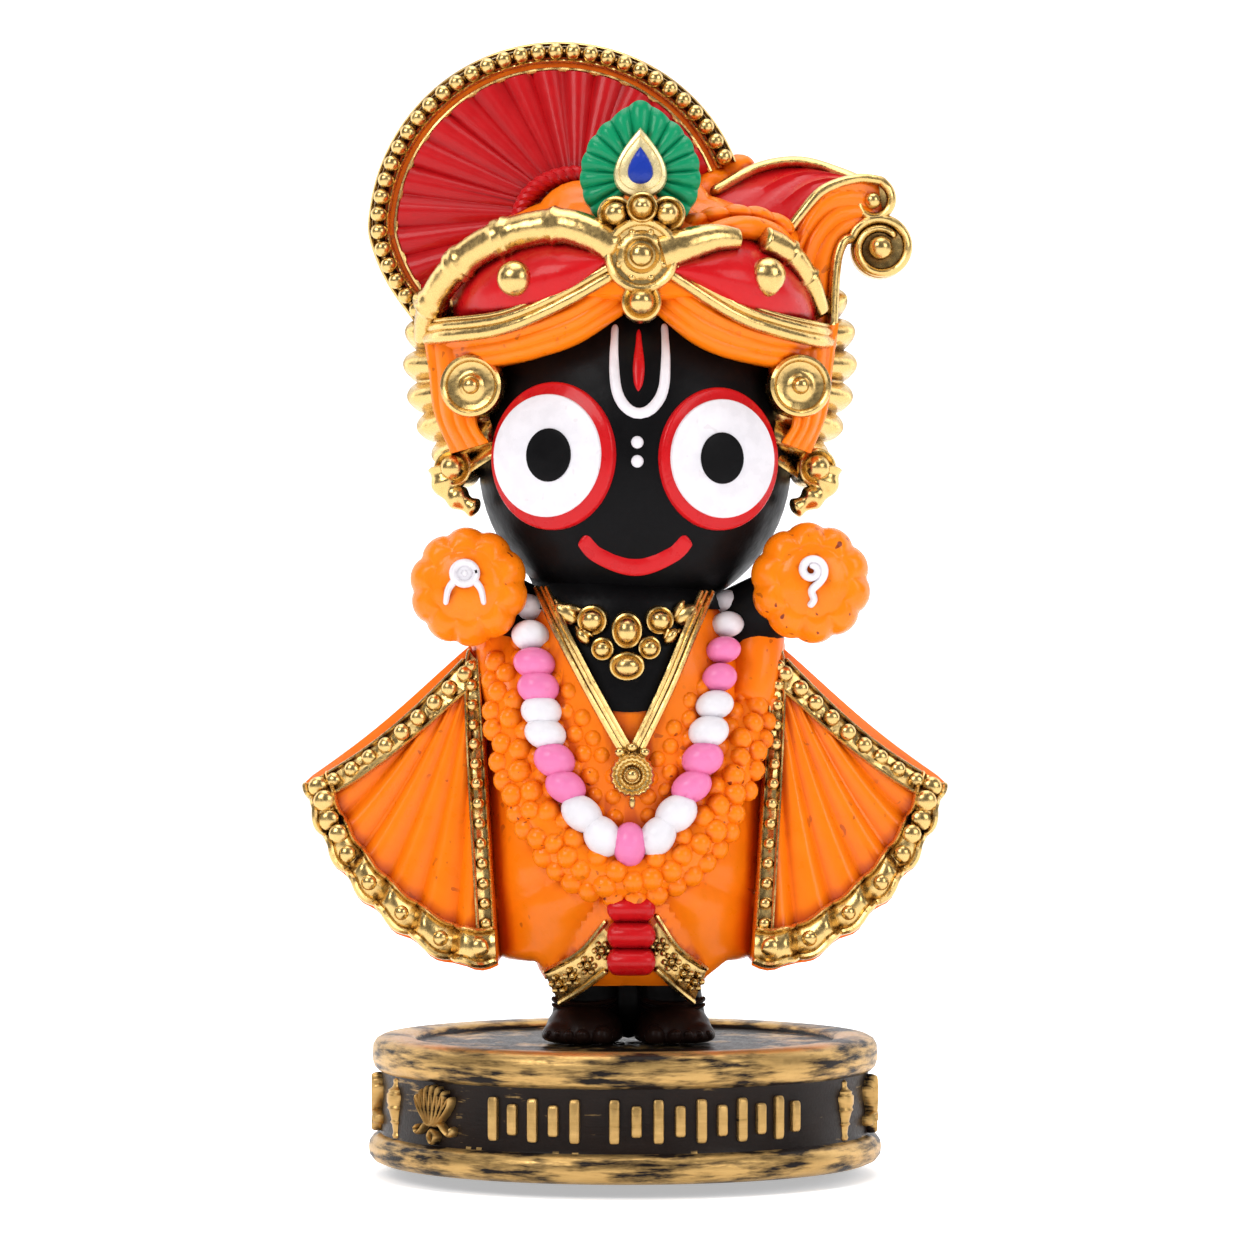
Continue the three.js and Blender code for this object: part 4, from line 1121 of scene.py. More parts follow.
# %% Necklace, chain and pendant
def stone(x, h, r, squash=1.0, proud=0.5):
    profile = [
        (0, -2.2), (1.34 * r, -2.2), (1.36 * r, 0.0), (1.28 * r, 0.2 * r), (1.16 * r, 0.26 * r), (1.04 * r, 0.12 * r),
        (0.98 * r, 0.2 * r), (0.9 * r, 0.55 * r), (0.68 * r, 0.86 * r), (0.36 * r, 1.04 * r), (0, 1.08 * r),
    ]
    turned("gold", on_trunk(x, h, proud), profile, (0.05 * x, -1, -0.1), 26, squash)


stone(0.2, 40.9, 1.35, 0.84, 1.0)
for x, h, r, squash in ((-3.2, 41.9, 1.12, 1), (3.4, 41.9, 1.05, 1), (-2.2, 39.1, 0.85, 1), (2.4, 39.2, 0.85, 1), (0.2, 37.4, 1.05, 1.25)):
    stone(x, h, r, squash, 0.8)
for x, h, turn, size in ((-5.7, 42.5, 0.9, 1.5), (5.9, 42.4, -0.9, 1.5), (-4.1, 40.3, 0.7, 0.95), (4.5, 40.3, -0.7, 0.95)):
    egg("gold", on_trunk(x, h, 0.7), (0.62 * size, 0.8, size), 18, 12, turn=turn)
    for shift in (-0.45, 0.45):
        egg("gold", on_trunk(x + shift * size, h + 0.35 * size, 0.6), (0.32 * size, 0.7, 0.8 * size), 14, 8, turn=turn * (1 + shift))


def chain(points):
    clear = lambda h: 0.9 + 0.22 * max(0, h - 38)
    outer = [on_trunk(x, h, clear(h)) for x, h in points]
    shifted = lambda d: [on_trunk(x + d * (-1 if x > 0.7 else 1), h + 0.1, clear(h) + 0.1) for x, h in points]
    beads("gold", [on_trunk(x, h, clear(h) + 0.05) for x, h in points], 25, 0.36, 1.0, 8)
    for inside in (0.55, 1.0):
        tube("gold", shifted(inside), 0.27, 0.4, 40, 8)
    tube("gold", outer, 0.36, 0.5, 40, 8)


chain([(-8.7, 45.0), (-6.6, 40.6), (-3.9, 35.4), (-1.0, 30.2), (0.2, 28.4)])
chain([(8.5, 44.6), (6.6, 40.2), (4.6, 35.4), (2.2, 30.4), (1.2, 28.4)])
rim = lambda a: 1 + 0.035 * np.cos(a * 20)
turned("gold", on_trunk(0.7, 26.8, 1.5), ring_boss(2.15), segments=80, outline=rim)
egg("gold", on_trunk(0.7, 24.2, 1.4), (0.34, 0.4, 0.75), 12, 8)
for x, h in ((-0.5, 29.0), (1.9, 29.0), (0.7, 29.5)):
    egg("gold", on_trunk(x, h, 1.3), (0.6, 0.6, 0.5), 14, 8)
print("chest:", len(casting), "forms so far")

# %% [markdown]
# ## Garlands
# A thick rope of marigolds hangs to the waist, and a string of large beads, pink and white in turn, lies inside
# it. The rope is a plain tube first. Small blossoms are then scattered over it at a set spacing, which gives the
# crowded, uneven look that no regular row could.

# %% Bead string and marigold rope
BEADS = [
    ("white", -9.7, 43.2, 1.45), ("white", -9.3, 40.4, 1.6), ("pink", -8.9, 37.7, 1.75), ("pink", -8.5, 35.3, 1.75),
    ("white", -8.2, 33.0, 1.7), ("white", -7.8, 30.8, 1.75), ("pink", -6.9, 28.2, 1.75), ("pink", -5.8, 25.6, 1.75),
    ("white", -4.2, 23.0, 1.85), ("white", -2.2, 20.8, 1.8), ("pink", 0.45, 20.0, 1.85), ("white", 3.2, 20.8, 1.8),
    ("white", 5.0, 23.0, 1.85), ("pink", 6.5, 25.6, 1.75), ("pink", 7.6, 28.3, 1.75), ("white", 8.2, 31.0, 1.7),
    ("white", 8.8, 33.6, 1.6), ("pink", 9.3, 36.3, 1.45), ("pink", 9.7, 39.0, 1.45), ("white", 10.1, 41.5, 1.4),
    ("white", 10.2, 43.6, 1.35),
]
for i, (paint, x, h, r) in enumerate(BEADS):
    before, after = BEADS[max(i - 1, 0)], BEADS[min(i + 1, len(BEADS) - 1)]
    run = math.atan2(after[1] - before[1], after[2] - before[2])
    along = r * (0.88 + 0.04 * math.sin(2.3 * i))
    egg(paint, on_trunk(x, h, 1.35), (1.2 * r, r, 1.07 * along), 26, 16, turn=run)

ROPE = [(-11.0, 42.0), (-10.9, 36.0), (-10.4, 29.5), (-8.3, 23.4), (-4.6, 18.6), (0.4, 16.9), (5.0, 18.6), (8.8, 23.2), (11.2, 29.6), (12.4, 36.0), (12.6, 41.5)]
rope_line = smooth_line([on_trunk(x, h, 0.2) for x, h in ROPE])
tube("marigold", [on_trunk(x, h, 0.2) for x, h in ROPE], 2.3, 1.75, 90, 20)


def scatter(surface, rows, cols, spacing, radius, seed):
    u, v = np.meshgrid(spread(rows), spread(cols), indexing="ij")
    points = surface(u, v).reshape(-1, 3)
    i, j = np.meshgrid(np.arange(rows), np.arange(cols), indexing="ij")
    a = (i * (cols + 1) + j).reshape(-1)
    faces = np.stack([a, a + 1, a + cols + 2, a + cols + 1], axis=-1).tolist()
    sizes = {"Spacing": spacing * UNIT, "Radius": radius * UNIT, "Seed": seed}
    points, faces = by_rule(blossoms, "marigold", points, [], faces, **sizes)
    return keep_apart("marigold", points, faces, BLOSSOM_POINTS)


def rope_skin(u, v):
    middle = rope_line(u)
    along = unit(rope_line(np.minimum(u + 0.01, 1)) - rope_line(np.maximum(u - 0.01, 0)))
    across = unit(np.cross(along, (0, -1.0, 0)))
    turn = math.pi * (0.0 + 1.0 * v)
    out = np.cross(across, along)
    return middle + (2.15 * np.cos(turn))[..., None] * across + (1.25 * np.sin(turn))[..., None] * out


def chest_skin(side):
    """The strip of chest between the chain and the bead string."""
    def surface(u, v):
        h = 22.5 + 17 * u
        inner = 0.4 + 0.56 * np.maximum(0, h - 27)
        outer = 8.6 * np.sqrt(np.clip((h - 19) / 12, 0, 1))
        x = 0.6 + side * (inner + 1.0 + (np.maximum(outer - inner, 1.2) - 1.0) * v)
        return np.stack([x, trunk_y(x, h, -0.6), h], axis=-1)
    return surface


made = scatter(rope_skin, 80, 16, 1.75, 1.3, 5)
made += scatter(chest_skin(-1), 24, 10, 1.75, 1.15, 9) + scatter(chest_skin(1), 24, 10, 1.75, 1.15, 11)
print("garlands:", len(BEADS), "beads and", made, "blossoms")

# %% [markdown]
# ## Hands
# The hands are round like open flowers, with lobes round a raised middle, and carry white emblems in thick
# paint: a wheel with two ties and a shell with a tail. A boss with a wavy outline gives the lobes, and each
# emblem is a short coiled tube.

# %% Hands
def palm(x, h, size, lobes, side):
    mild = lambda share: (lambda a: 1 - share * 0.09 * (1 - np.abs(np.sin(a * lobes / 2 + 0.4)) ** 0.6))
    normal = np.array([side * 0.1, -1, 0.06])
    n = unit(normal)
    across = unit(np.cross(n, (0, 0, 1.0)))
    up = np.cross(across, n)
    a = np.arange(lobes * 12) / (lobes * 12) * 2 * math.pi
    centre = np.array([x, -8.4, h])
    shape = [(0.72, -3.2, 1.0), (0.9, -2.2, 1.0), (0.98, -1.1, 1.0), (1.0, 0.0, 1.0), (0.98, 0.8, 1.3), (0.93, 1.5, 1.8),
             (0.85, 2.05, 2.3), (0.76, 2.35, 2.4), (0.68, 2.42, 1.8), (0.62, 2.36, 1.0), (0.58, 2.34, 0.5), (0.53, 2.5, 0.2),
             (0.44, 2.72, 0), (0.3, 2.9, 0), (0.14, 3.0, 0), (0.05, 3.02, 0)]
    rings = []
    for r, d, lobed in shape:
        out = r * size * mild(lobed)(a)
        rings.append(centre + (out * np.cos(a))[:, None] * across + (out * np.sin(a))[:, None] * up + d * n)
    loft("marigold", rings)
    return centre + 3.0 * n


palm(-15.4, 45.2, 5.9, 10, -1)
palm(18.3, 45.6, 6.0, 10, 1)
a = np.linspace(0, 2 * math.pi * 1.05, 30)
wheel = np.stack([-15.7 + 1.15 * np.cos(a), np.full(30, -11.75), 46.5 + 1.05 * np.sin(a)], axis=-1)
tube("white", wheel, 0.38, 0.42, 50, 10)
egg("white", (-15.7, -11.6, 46.5), (1.0, 0.3, 0.9), 18, 8)
egg("white", (-15.7, -11.85, 46.5), (0.34, 0.34, 0.34), 12, 8)
for side in (-1, 1):
    tie = [(-15.7 + side * 0.9, -11.7, 45.9), (-15.7 + side * 1.6, -11.6, 44.9), (-15.7 + side * 1.9, -11.3, 43.4)]
    tube("white", tie, lambda t: 0.4 - 0.14 * t, 0.4, 16, 10, round_end=0.12)
a = np.linspace(-0.4, 2 * math.pi * 1.35, 40)
r = np.linspace(1.35, 0.35, 40)
shell = np.stack([18.3 + 0.92 * r * np.cos(a), np.full(40, -11.8) - 0.2 * (1.35 - r), 46.8 + 0.92 * r * np.sin(a)], axis=-1)
tail = [(18.0, -11.4, 43.2), (18.5, -11.6, 43.9), (18.3, -11.7, 44.8), (19.0, -11.8, 45.6)]
tube("white", [*tail, *shell[::3]], lambda t: 0.34 + 0.1 * np.sin(math.pi * t), 0.42, 90, 10, round_end=0.03)
print("hands:", len(casting), "forms so far")

# %% [markdown]
# ## Cape
# Each side of the cape is a pleated wing that fans out from the shoulder. It is laid out in polar steps: u runs
# down a pleat, v runs from the border beside the trunk to the upper edge. A knife fold in v, deeper towards the
# hem, makes the pleats, and the gilt borders are plates and bead rows laid on the same surface.

# %% Cape cloth
WING = {"x": 14.5, "y": -4.6, "h": 39.9, "inner": -3.6, "outer": 51.0, "pleats": 6.5}


def wing_reach(v):
    return 31.7 - 0.2 * np.maximum(0, WING["inner"] + v * (WING["outer"] - WING["inner"]) - 4)


def wing_spread(u):
    return WING["outer"] - WING["inner"] - 7.4 * (1 - u * u)


def wing_point(side, u, v, proud=0.0):
    fold = (v * WING["pleats"]) % 1
    pleat = np.where(fold < 0.72, np.sin(fold / 0.72 * math.pi / 2), np.cos((fold - 0.72) / 0.28 * math.pi / 2))
    calm = np.clip((v - 0.02) / 0.06, 0, 1) * np.clip((0.97 - v) / 0.07, 0, 1)
    step = 0.5 * np.where(fold < 0.72, np.sin(fold / 0.72 * math.pi), 0) * np.clip((u - 0.8) / 0.2, 0, 1)
    r = u * (wing_reach(v) + step)
    y = WING["y"] + u * (-4.4 + 8.4 * v) - 1.35 * u * pleat * calm - proud
    rad = np.radians(WING["inner"] + v * wing_spread(u))
    return np.stack([side * (WING["x"] + r * np.sin(rad)), y, WING["h"] - r * np.cos(rad)], axis=-1)


def cape_front(u, w):
    """The cape from one tip (w = -1) to the other (1). Near the middle it runs through the trunk."""
    v = np.clip((np.abs(w) - 0.1) / 0.9, 0, 1)
    left, right = wing_point(-1, u, v), wing_point(1, u, v)
    share = np.clip(0.5 + w / 0.2, 0, 1)[..., None]
    p = left * (1 - share) + right * share
    p[..., 1] = np.where(np.abs(w) < 0.099, 0.0, p[..., 1])
    return p


def cape_back(u, w):
    p = cape_front(u, w)
    v = np.clip((np.abs(w) - 0.1) / 0.9, 0, 1)
    fall = 0.5 * np.abs(np.sin((w + 1) * 10 * math.pi)) * u
    p[..., 1] = 2.4 + (4.6 + 6 * u) * (1 - v**1.6) + fall
    return p


half = 0.1 + 0.9 * spread(72)
both = np.concatenate([-half[::-1], np.linspace(-0.098, 0.098, 9), half])
slab("orange", cape_front, cape_back, 0.06 + 0.94 * spread(18), both)
back_hem = cape_back(np.full(120, 0.99), np.linspace(-0.96, 0.96, 120))
tube("gold", back_hem, 0.5, 0.5, 160, 8, round_end=0.01)


def lining(side):
    """The cape's own cloth, which shows as a narrow edge outside the gilt borders."""
    def front(u, v):
        reach = u * (1 + 0.012 * (1 - v**8))
        p = wing_point(side, reach, v)
        out = wing_point(side, reach, np.ones_like(v)) - wing_point(side, reach, np.full_like(v, 0.97))
        p[..., [0, 2]] += unit(out)[..., [0, 2]] * (np.sqrt(np.sin(math.pi * u)) * np.clip((v - 0.8) / 0.2, 0, 1))[..., None]
        p[..., 1] = WING["y"] + u * (-4.4 + 8.4 * v) + 1.0 + 0.5 * v
        return p
    slab("orange", front, behind(front, 1.6), 0.05 + 0.95 * spread(24), spread(40))


for side in (-1, 1):
    lining(side)

# %% [markdown]
# ## Gilt borders of the cape
# The hem's border is a plate that bulges between two fine lines, and the two long borders are strips of even
# width with a row of beads. They are laid a little proud of the cloth and rooted in it, so the gold never parts
# from the pleats below.

# %% Borders
def border(side, us, vs, proud, sunk=1.2):
    front = lambda u, v: wing_point(side, u, v, proud(u, v))
    slab("gold", front, lambda u, v: wing_point(side, u, v, -sunk), us, vs)


def inset(u, edge, distance):
    """The place v that lies a distance in from the edge v = 0 or v = 1, at u."""
    share = distance / (np.maximum(u, 0.05) * wing_reach(edge) * np.radians(wing_spread(u)))
    return edge + (share if edge == 0 else -share)


def long_border(side, edge, low, high, wide, count, size):
    """A strip of even width along a long edge, with a raised line on each side and a row of beads."""
    def skin(proud):
        return lambda u, k: wing_point(side, u, inset(u, edge, 0.15 + (wide - 0.15) * k), proud)
    slab("gold", skin(0.35), skin(-1.0), low + (high - low) * spread(40), spread(4))
    u = np.linspace(low, high, 30)
    for distance in (0.2, wide):
        tube("gold", wing_point(side, u, inset(u, edge, distance), 0.4), 0.2, 0.4, 60, 8, round_end=0.01)
    u = np.linspace(low + 0.03, high - 0.025, 30)
    beads("gold", wing_point(side, u, inset(u, edge, 0.5 * wide + 0.1), 0.5), count, size, 0.85, 14)


for side in (-1, 1):
    low, high = 0.895, 0.988
    across = lambda u: (u - low) / (high - low)
    bulge = lambda u, v: 0.4 + 0.7 * np.sin(math.pi * across(u)) ** 0.7
    border(side, low + (high - low) * spread(10), 0.005 + 0.99 * spread(130), bulge)
    for u, size in ((0.892, 0.26), (0.99, 0.36)):
        rim_line = wing_point(side, np.full(60, u), np.linspace(0.0, 1.0, 60), 0.6)
        tube("gold", rim_line, size, 0.55, 150, 8, round_end=0.01)
    for v, size in ((0.955, 1.05), (0.885, 1.1), (0.81, 1.1), (0.735, 1.0), (0.655, 0.9), (0.52, 0.8), (0.36, 0.75), (0.2, 0.8), (0.06, 1.0)):
        spot = wing_point(side, np.array(0.941), np.array(v), 0.95)
        egg("gold", spot, (size, 0.7, size), 18, 10)
    long_border(side, 1, 0.1, 0.9, 2.0, 9, 0.86)
    long_border(side, 0, 0.06, 0.9, 1.75, 14, 0.62)
print("cape:", len(casting), "forms so far")

# %% [markdown]
# ## Lower garment, tassel and feet
# Below the garland the cloth is drawn up in swags that fan out from the middle, and ends in two gilt hems that
# meet over the legs. A red tassel of three rolls hangs between them. The feet are dark, with rounded toes and a
# crease at the ankle, and they rest flat on the plinth's floor.

# %% Lower garment
def skirt_ring(h, wide, deep):
    a = np.arange(150) / 150 * 2 * math.pi
    x, y = np.cos(a), np.sin(a)
    front = np.clip(-y * 2.5, 0, 1)
    away = np.abs(wide * x - 0.6)
    edge = np.interp(away, [0, 2.4, 7.0, 8.2], [11.0, 10.0, 5.6, 7.6])
    level = h + front * (edge - 6.2) * np.clip((9.5 - h) / 3.5, 0, 1)
    swing = np.arctan2(20.8 - level, away + 1.2)
    fold = 0.6 * front * (np.abs(np.sin(swing * 7.5)) ** 0.8 - 0.5) + 0.25 * (1 - front) * np.abs(np.sin(a * 10))
    return np.stack([wide * x, -0.4 + (deep - 0.5 + fold) * y, level], axis=-1)


loft("orange", [skirt_ring(*row) for row in (
    (6.0, 8.0, 8.6), (7.0, 8.6, 9.0), (8.0, 9.0, 9.3), (9.0, 9.5, 9.5), (10.5, 10.2, 9.7), (12.0, 10.8, 9.9),
    (14.0, 11.6, 10.2),
)])
for h, wide in ((13.7, 2.35), (11.1, 2.4), (8.5, 2.45)):
    roll = [(0.6 - wide + 0.2, -11.2, h), (0.6, -11.7, h), (0.6 + wide - 0.2, -11.2, h)]
    tube("red", roll, 2.0, 1.4, 30, 20, face=(0, 0, 1), round_end=0.2)
    for k in (-1, 0, 1):
        egg("red", (0.6 + k * 1.45, -12.7, h), (0.95, 0.7, 1.15), 14, 10)

HEMS = {
    -1: ([(-1.7, -11.0, 7.6), (-4.0, -9.9, 5.8), (-6.5, -7.4, 4.1)], [(-1.7, -11.4, 12.6), (-4.4, -10.6, 9.4), (-8.0, -7.9, 7.2)]),
    1: ([(2.9, -11.0, 7.8), (4.9, -9.9, 5.9), (6.8, -7.4, 4.2)], [(2.9, -11.4, 13.2), (5.2, -10.6, 9.8), (8.1, -7.9, 7.5)]),
}
for side, (low, high) in HEMS.items():
    plate = between(low, high, 0.35)
    slab("gold", plate, behind(plate, 3.0), spread(20), spread(10))
    for line in (low, high):
        tube("gold", [(x, y - 0.15, h) for x, y, h in line], 0.3, 0.45, 24, 8, round_end=0.04)
    middle = smooth_line([(np.array(a) + np.array(b)) / 2 for a, b in zip(low, high)])
    for k, t in enumerate((0.1, 0.36, 0.62, 0.87)):
        x, y, h = middle(t)
        egg("gold", (x, y - 0.5, h), (0.4, 0.5, 0.4), 12, 8)
        for turn in np.arange(6) * math.pi / 3:
            dx, dh = 0.72 * math.cos(turn), 0.72 * math.sin(turn)
            egg("gold", (x + dx, y - 0.45, h + dh), (0.32, 0.45, 0.32), 10, 6)

# %% Feet
def foot(side, x):
    leg = [(x - side * 0.8, 0.0, 11.5), (x - side * 0.5, 0.0, 6.0), (x - side * 0.1, 0.0, 1.2)]
    tube("skin black", leg, lambda t: 3.5 - 0.3 * np.sin(math.pi * t), None, 24, 28)
    egg("feet brown", (x, -1.0, 0.5), (3.95, 5.6, 3.7, 1.2), 36, 18)
    egg("feet brown", (x + side * 0.3, -3.0, 0.6), (3.9, 3.6, 2.1, 1.2), 30, 16)
    for out, y, r, long in ((-1.75, -5.9, 1.15, 1.5), (0.1, -6.3, 0.85, 1.3), (1.4, -5.9, 0.78, 1.2), (2.5, -5.3, 0.7, 1.1), (3.4, -4.5, 0.62, 1.0)):
        egg("feet brown", (x + side * out, y + 0.4, 0.75), (r, long, r * 0.95), 18, 12)
        egg("feet brown", (x + side * out, y - 0.62 * long + 0.3, 0.95), (r * 0.6, 0.4, r * 0.5), 12, 8)
    a = np.linspace(math.pi * 1.08, math.pi * 1.92, 20)
    for lift, size in ((4.3, 0.3), (3.7, 0.22)):
        ring = np.stack([x + 3.15 * np.cos(a), -0.2 + 3.35 * np.sin(a), lift + 0.6 * np.sin(a)], axis=-1)
        tube("feet brown", ring, size, 0.35, 30, 8, round_end=0.05)


foot(-1, -4.1)
foot(1, 4.8)
egg("skin black", (0.35, 1.2, 4.0), (2.6, 2.4, 7.0, 4.0), 24, 14)
print("figure:", len(casting), "forms")

# %% [markdown]
# ## Plinth
# A turned drum with two rounded rims and a sunk, rough floor. Lotus flowers and maces stand out from its band in
# turn, and rows of short plain strokes fill the front. The drum is one lathed profile. Each emblem is built flat
# and then wrapped round the drum, so it follows the curve.

# %% Plinth
PLINTH = {"tall": plinth_high.z - plinth_low.z, "foot": plinth_high.x}
MM = 0.001
DRUM = [
    (0, 0.0), (23.2, 0.0), (24.4, 0.05), (25.1, 0.35), (25.5, 0.9), (25.6, 1.5), (25.5, 2.1), (25.15, 2.6),
    (24.7, 2.86), (24.4, 2.95), (24.32, 3.2), (24.3, 6.0), (24.3, 8.9), (24.4, 9.15), (24.7, 9.3), (25.0, 9.6),
    (25.2, 10.2), (25.22, 11.0), (25.15, 11.7), (24.85, 12.2), (24.3, 12.5), (23.4, 12.6), (22.2, 12.58),
    (21.4, 12.5), (21.0, 12.3), (20.85, 12.0), (20.8, 11.85), (20.6, 11.8),
]


def plinth_point(turn, radius, z):
    """Millimetres round the band's front to a point: the turn is in radians from the front."""
    return np.stack([radius * np.sin(turn), -radius * np.cos(turn), z + 0 * turn], axis=-1)


def drum():
    a = np.arange(240) / 240 * 2 * math.pi
    rough = 0.5 + 0.5 * np.sin(7 * a + 1) * np.sin(11 * a + 2)
    rings = [plinth_point(a, r, z + 0 * a) for r, z in DRUM if r > 0]
    for r in np.linspace(20, 1, 24):
        bump = 0.09 * np.sin(3.1 * r + 5 * a) * np.sin(1.7 * r - 9 * a) + 0.05 * rough
        rings.append(plinth_point(a, r, 11.72 + bump))
    loft("plinth band", rings, seat="plinth")
    _, points, faces, seat = casting.pop()
    radius, level = np.hypot(points[:, 0], points[:, 1]), points[:, 2]
    face_radius = np.array([radius[f].mean() for f in faces])
    face_level = np.array([level[f].mean() for f in faces])
    rim = (face_radius > 24.36) | ((face_level > 12.1) & (face_radius > 20.9))
    floor = (face_radius < 20.9) & (face_level > 5)
    names = np.where(rim, "plinth rims", np.where(floor, "plinth floor", "plinth band"))
    casting.append((names.tolist(), points, faces, seat))


def wrapped(paint, outline, turn, middle, relief, soften=0.25):
    """An outline in millimetres, raised from the band and wrapped round it."""
    outline = np.array(outline, float)
    centre = outline.mean(axis=0)
    rings = []
    for scale, radius in ((1.0, 23.2), (1.0, 24.3 + relief - soften), (0.93, 24.3 + relief - 0.06), (0.8, 24.3 + relief)):
        p = centre + (outline - centre) * scale
        rings.append(plinth_point(np.radians(turn) + p[:, 0] / 24.3, radius, middle + p[:, 1]))
    loft(paint, rings, seat="plinth")


def stroke(paint, points, turn, middle, size, relief):
    """A rounded stroke along a line on the band, given flat in millimetres."""
    line = smooth_line(points)(np.linspace(0, 1, 24))
    path = plinth_point(np.radians(turn) + line[:, 0] / 24.3, 24.3 + relief * 0.35, middle + line[:, 1])
    tube(paint, path, size, relief, 20, 8, face=tuple(plinth_point(np.radians(turn), 1.0, 0.0)), round_end=0.08, seat="plinth")


def lotus(turn, middle):
    for k in range(-3, 4):
        tip = (0.86 * k, 2.9 - 0.12 * k * k)
        for bow in (-0.24, 0.24):
            stroke("plinth relief", [(0.16 * k, -1.2), (0.66 * k + bow, 0.7), tip], turn, middle, 0.17, 0.75)
    for side in (-1, 1):
        scroll = [(0, -1.1), (side * 1.0, -0.9), (side * 1.7, -1.5), (side * 2.4, -1.9), (side * 2.75, -1.5), (side * 2.4, -1.1)]
        stroke("plinth relief", scroll, turn, middle, 0.24, 0.75)
    stroke("plinth relief", [(0.0, -1.3), (0.5, -2.1), (0.0, -2.8), (-0.5, -2.1), (0.0, -1.3)], turn, middle, 0.2, 0.75)


def mace(turn, middle):
    profile = [(-3.0, 0.5), (-2.7, 0.62), (-2.45, 0.5), (-1.6, 0.62), (-1.4, 0.85), (-1.2, 0.68), (-0.2, 0.95), (0.0, 1.15),
               (0.25, 1.0), (0.9, 1.3), (1.3, 1.32), (1.55, 0.95), (1.8, 1.02), (2.05, 0.6), (2.35, 0.45), (2.7, 0.5), (3.05, 0.15)]
    z = np.linspace(-3.0, 3.05, 60)
    half = np.interp(z, [p[0] for p in profile], [p[1] for p in profile])
    a = np.arange(16) / 16 * 2 * math.pi
    rings = [
        plinth_point(np.radians(turn) + w * np.cos(a) / 24.3, 24.1 + np.minimum(w, 1.15) * 0.95 * np.sin(a), middle + k + 0 * a)
        for k, w in zip(z, half)
    ]
    loft("plinth relief", rings, seat="plinth")


drum()
middle = 6.05
for i in range(14):
    turn = -48.5 - (360 - 110.5) * i / 13
    (mace if i % 2 else lotus)(turn, middle)
for start, count in ((-13.2, 5), (-1.0, 10)):
    for k in range(count):
        x, tall = start + k * 2.1, (2.1 if k % 2 == 0 else 1.5)
        a = (np.arange(24) + 0.5) / 24 * 2 * math.pi
        bar = np.stack([0.5 * np.sign(np.cos(a)) * np.abs(np.cos(a)) ** 0.45, tall * np.sign(np.sin(a)) * np.abs(np.sin(a)) ** 0.16], axis=-1)
        wrapped("plinth relief", bar, math.degrees(x / 24.3), middle, 0.5, 0.18)
print("plinth:", sum(1 for c in casting if c[3] == "plinth"), "forms")

# %% [markdown]
# ## One skin
# The real figure came out of a mould in one piece, so its forms are joined here as solids: overlaps vanish, and
# one closed skin is left that still knows which paint each face has. The plinth is joined the same way.

# %% Joining
def as_object(name, forms, paint_names, scale):
    """One object from closed forms, with outward faces."""
    mesh = bpy.data.meshes.new(name)
    points, faces, index, start = [], [], [], 0
    for paint, co, fs, _ in forms:
        points.append(co)
        faces += [[k + start for k in f] for f in fs]
        index += [paint_names.index(p) for p in paint]
        start += len(co)
    mesh.from_pydata(scale(np.vstack(points)).tolist(), [], faces)
    for paint in paint_names:
        mesh.materials.append(paints[paint])
    mesh.polygons.foreach_set("material_index", index)
    work = bmesh.new()
    work.from_mesh(mesh)
    bmesh.ops.remove_doubles(work, verts=work.verts, dist=1e-7)
    bmesh.ops.recalc_face_normals(work, faces=work.faces)
    loose = sum(1 for e in work.edges if not e.is_manifold)
    work.to_mesh(mesh)
    work.free()
    if loose:
        print("open edges in", name, forms[0][0][0], loose)
    obj = bpy.data.objects.new(name, mesh)
    return obj


MOST_TRIANGLES = 185000


def joined(name, forms, scale):
    paint_names = sorted({p for f in forms for p in f[0]})
    group = bpy.data.collections.new(name + " forms")
    bpy.context.scene.collection.children.link(group)
    objects = [as_object(f"{name}.{i}", [form], paint_names, scale) for i, form in enumerate(forms)]
    first = objects[0]
    bpy.context.scene.collection.objects.link(first)
    for other in objects[1:]:
        group.objects.link(other)
    modifier = first.modifiers.new("join", "BOOLEAN")
    modifier.operation = "UNION"
    modifier.operand_type = "COLLECTION"
    modifier.collection = group
    modifier.solver = "MANIFOLD"
    modifier.material_mode = "TRANSFER"
    depsgraph = bpy.context.evaluated_depsgraph_get()
    mesh = bpy.data.meshes.new_from_object(first.evaluated_get(depsgraph))
    for obj in objects:
        old = obj.data
        bpy.data.objects.remove(obj)
        bpy.data.meshes.remove(old)
    bpy.data.collections.remove(group)
    whole = bpy.data.objects.new(name, mesh)
    bpy.context.scene.collection.objects.link(whole)
    return lightened(whole)


def lightened(obj):
    """Merges the smallest faces that joining leaves, until the skin has a workable number of triangles."""
    triangles = sum(len(p.vertices) - 2 for p in obj.data.polygons)
    if triangles <= MOST_TRIANGLES:
        return obj
    modifier = obj.modifiers.new("lighten", "DECIMATE")
    modifier.ratio = MOST_TRIANGLES / triangles
    depsgraph = bpy.context.evaluated_depsgraph_get()
    mesh = bpy.data.meshes.new_from_object(obj.evaluated_get(depsgraph))
    obj.modifiers.remove(modifier)
    obj.data = mesh
    return obj


def without_doubles(work):
    """Takes out both faces of every pair on the same corners: two such faces are a fin with no thickness."""
    work.verts.index_update()
    twins = {}
    for face in work.faces:
        twins.setdefault(frozenset(v.index for v in face.verts), []).append(face)
    doubled = [face for pair in twins.values() if len(pair) > 1 for face in pair]
    bmesh.ops.delete(work, geom=doubled, context="FACES")
    return len(doubled)


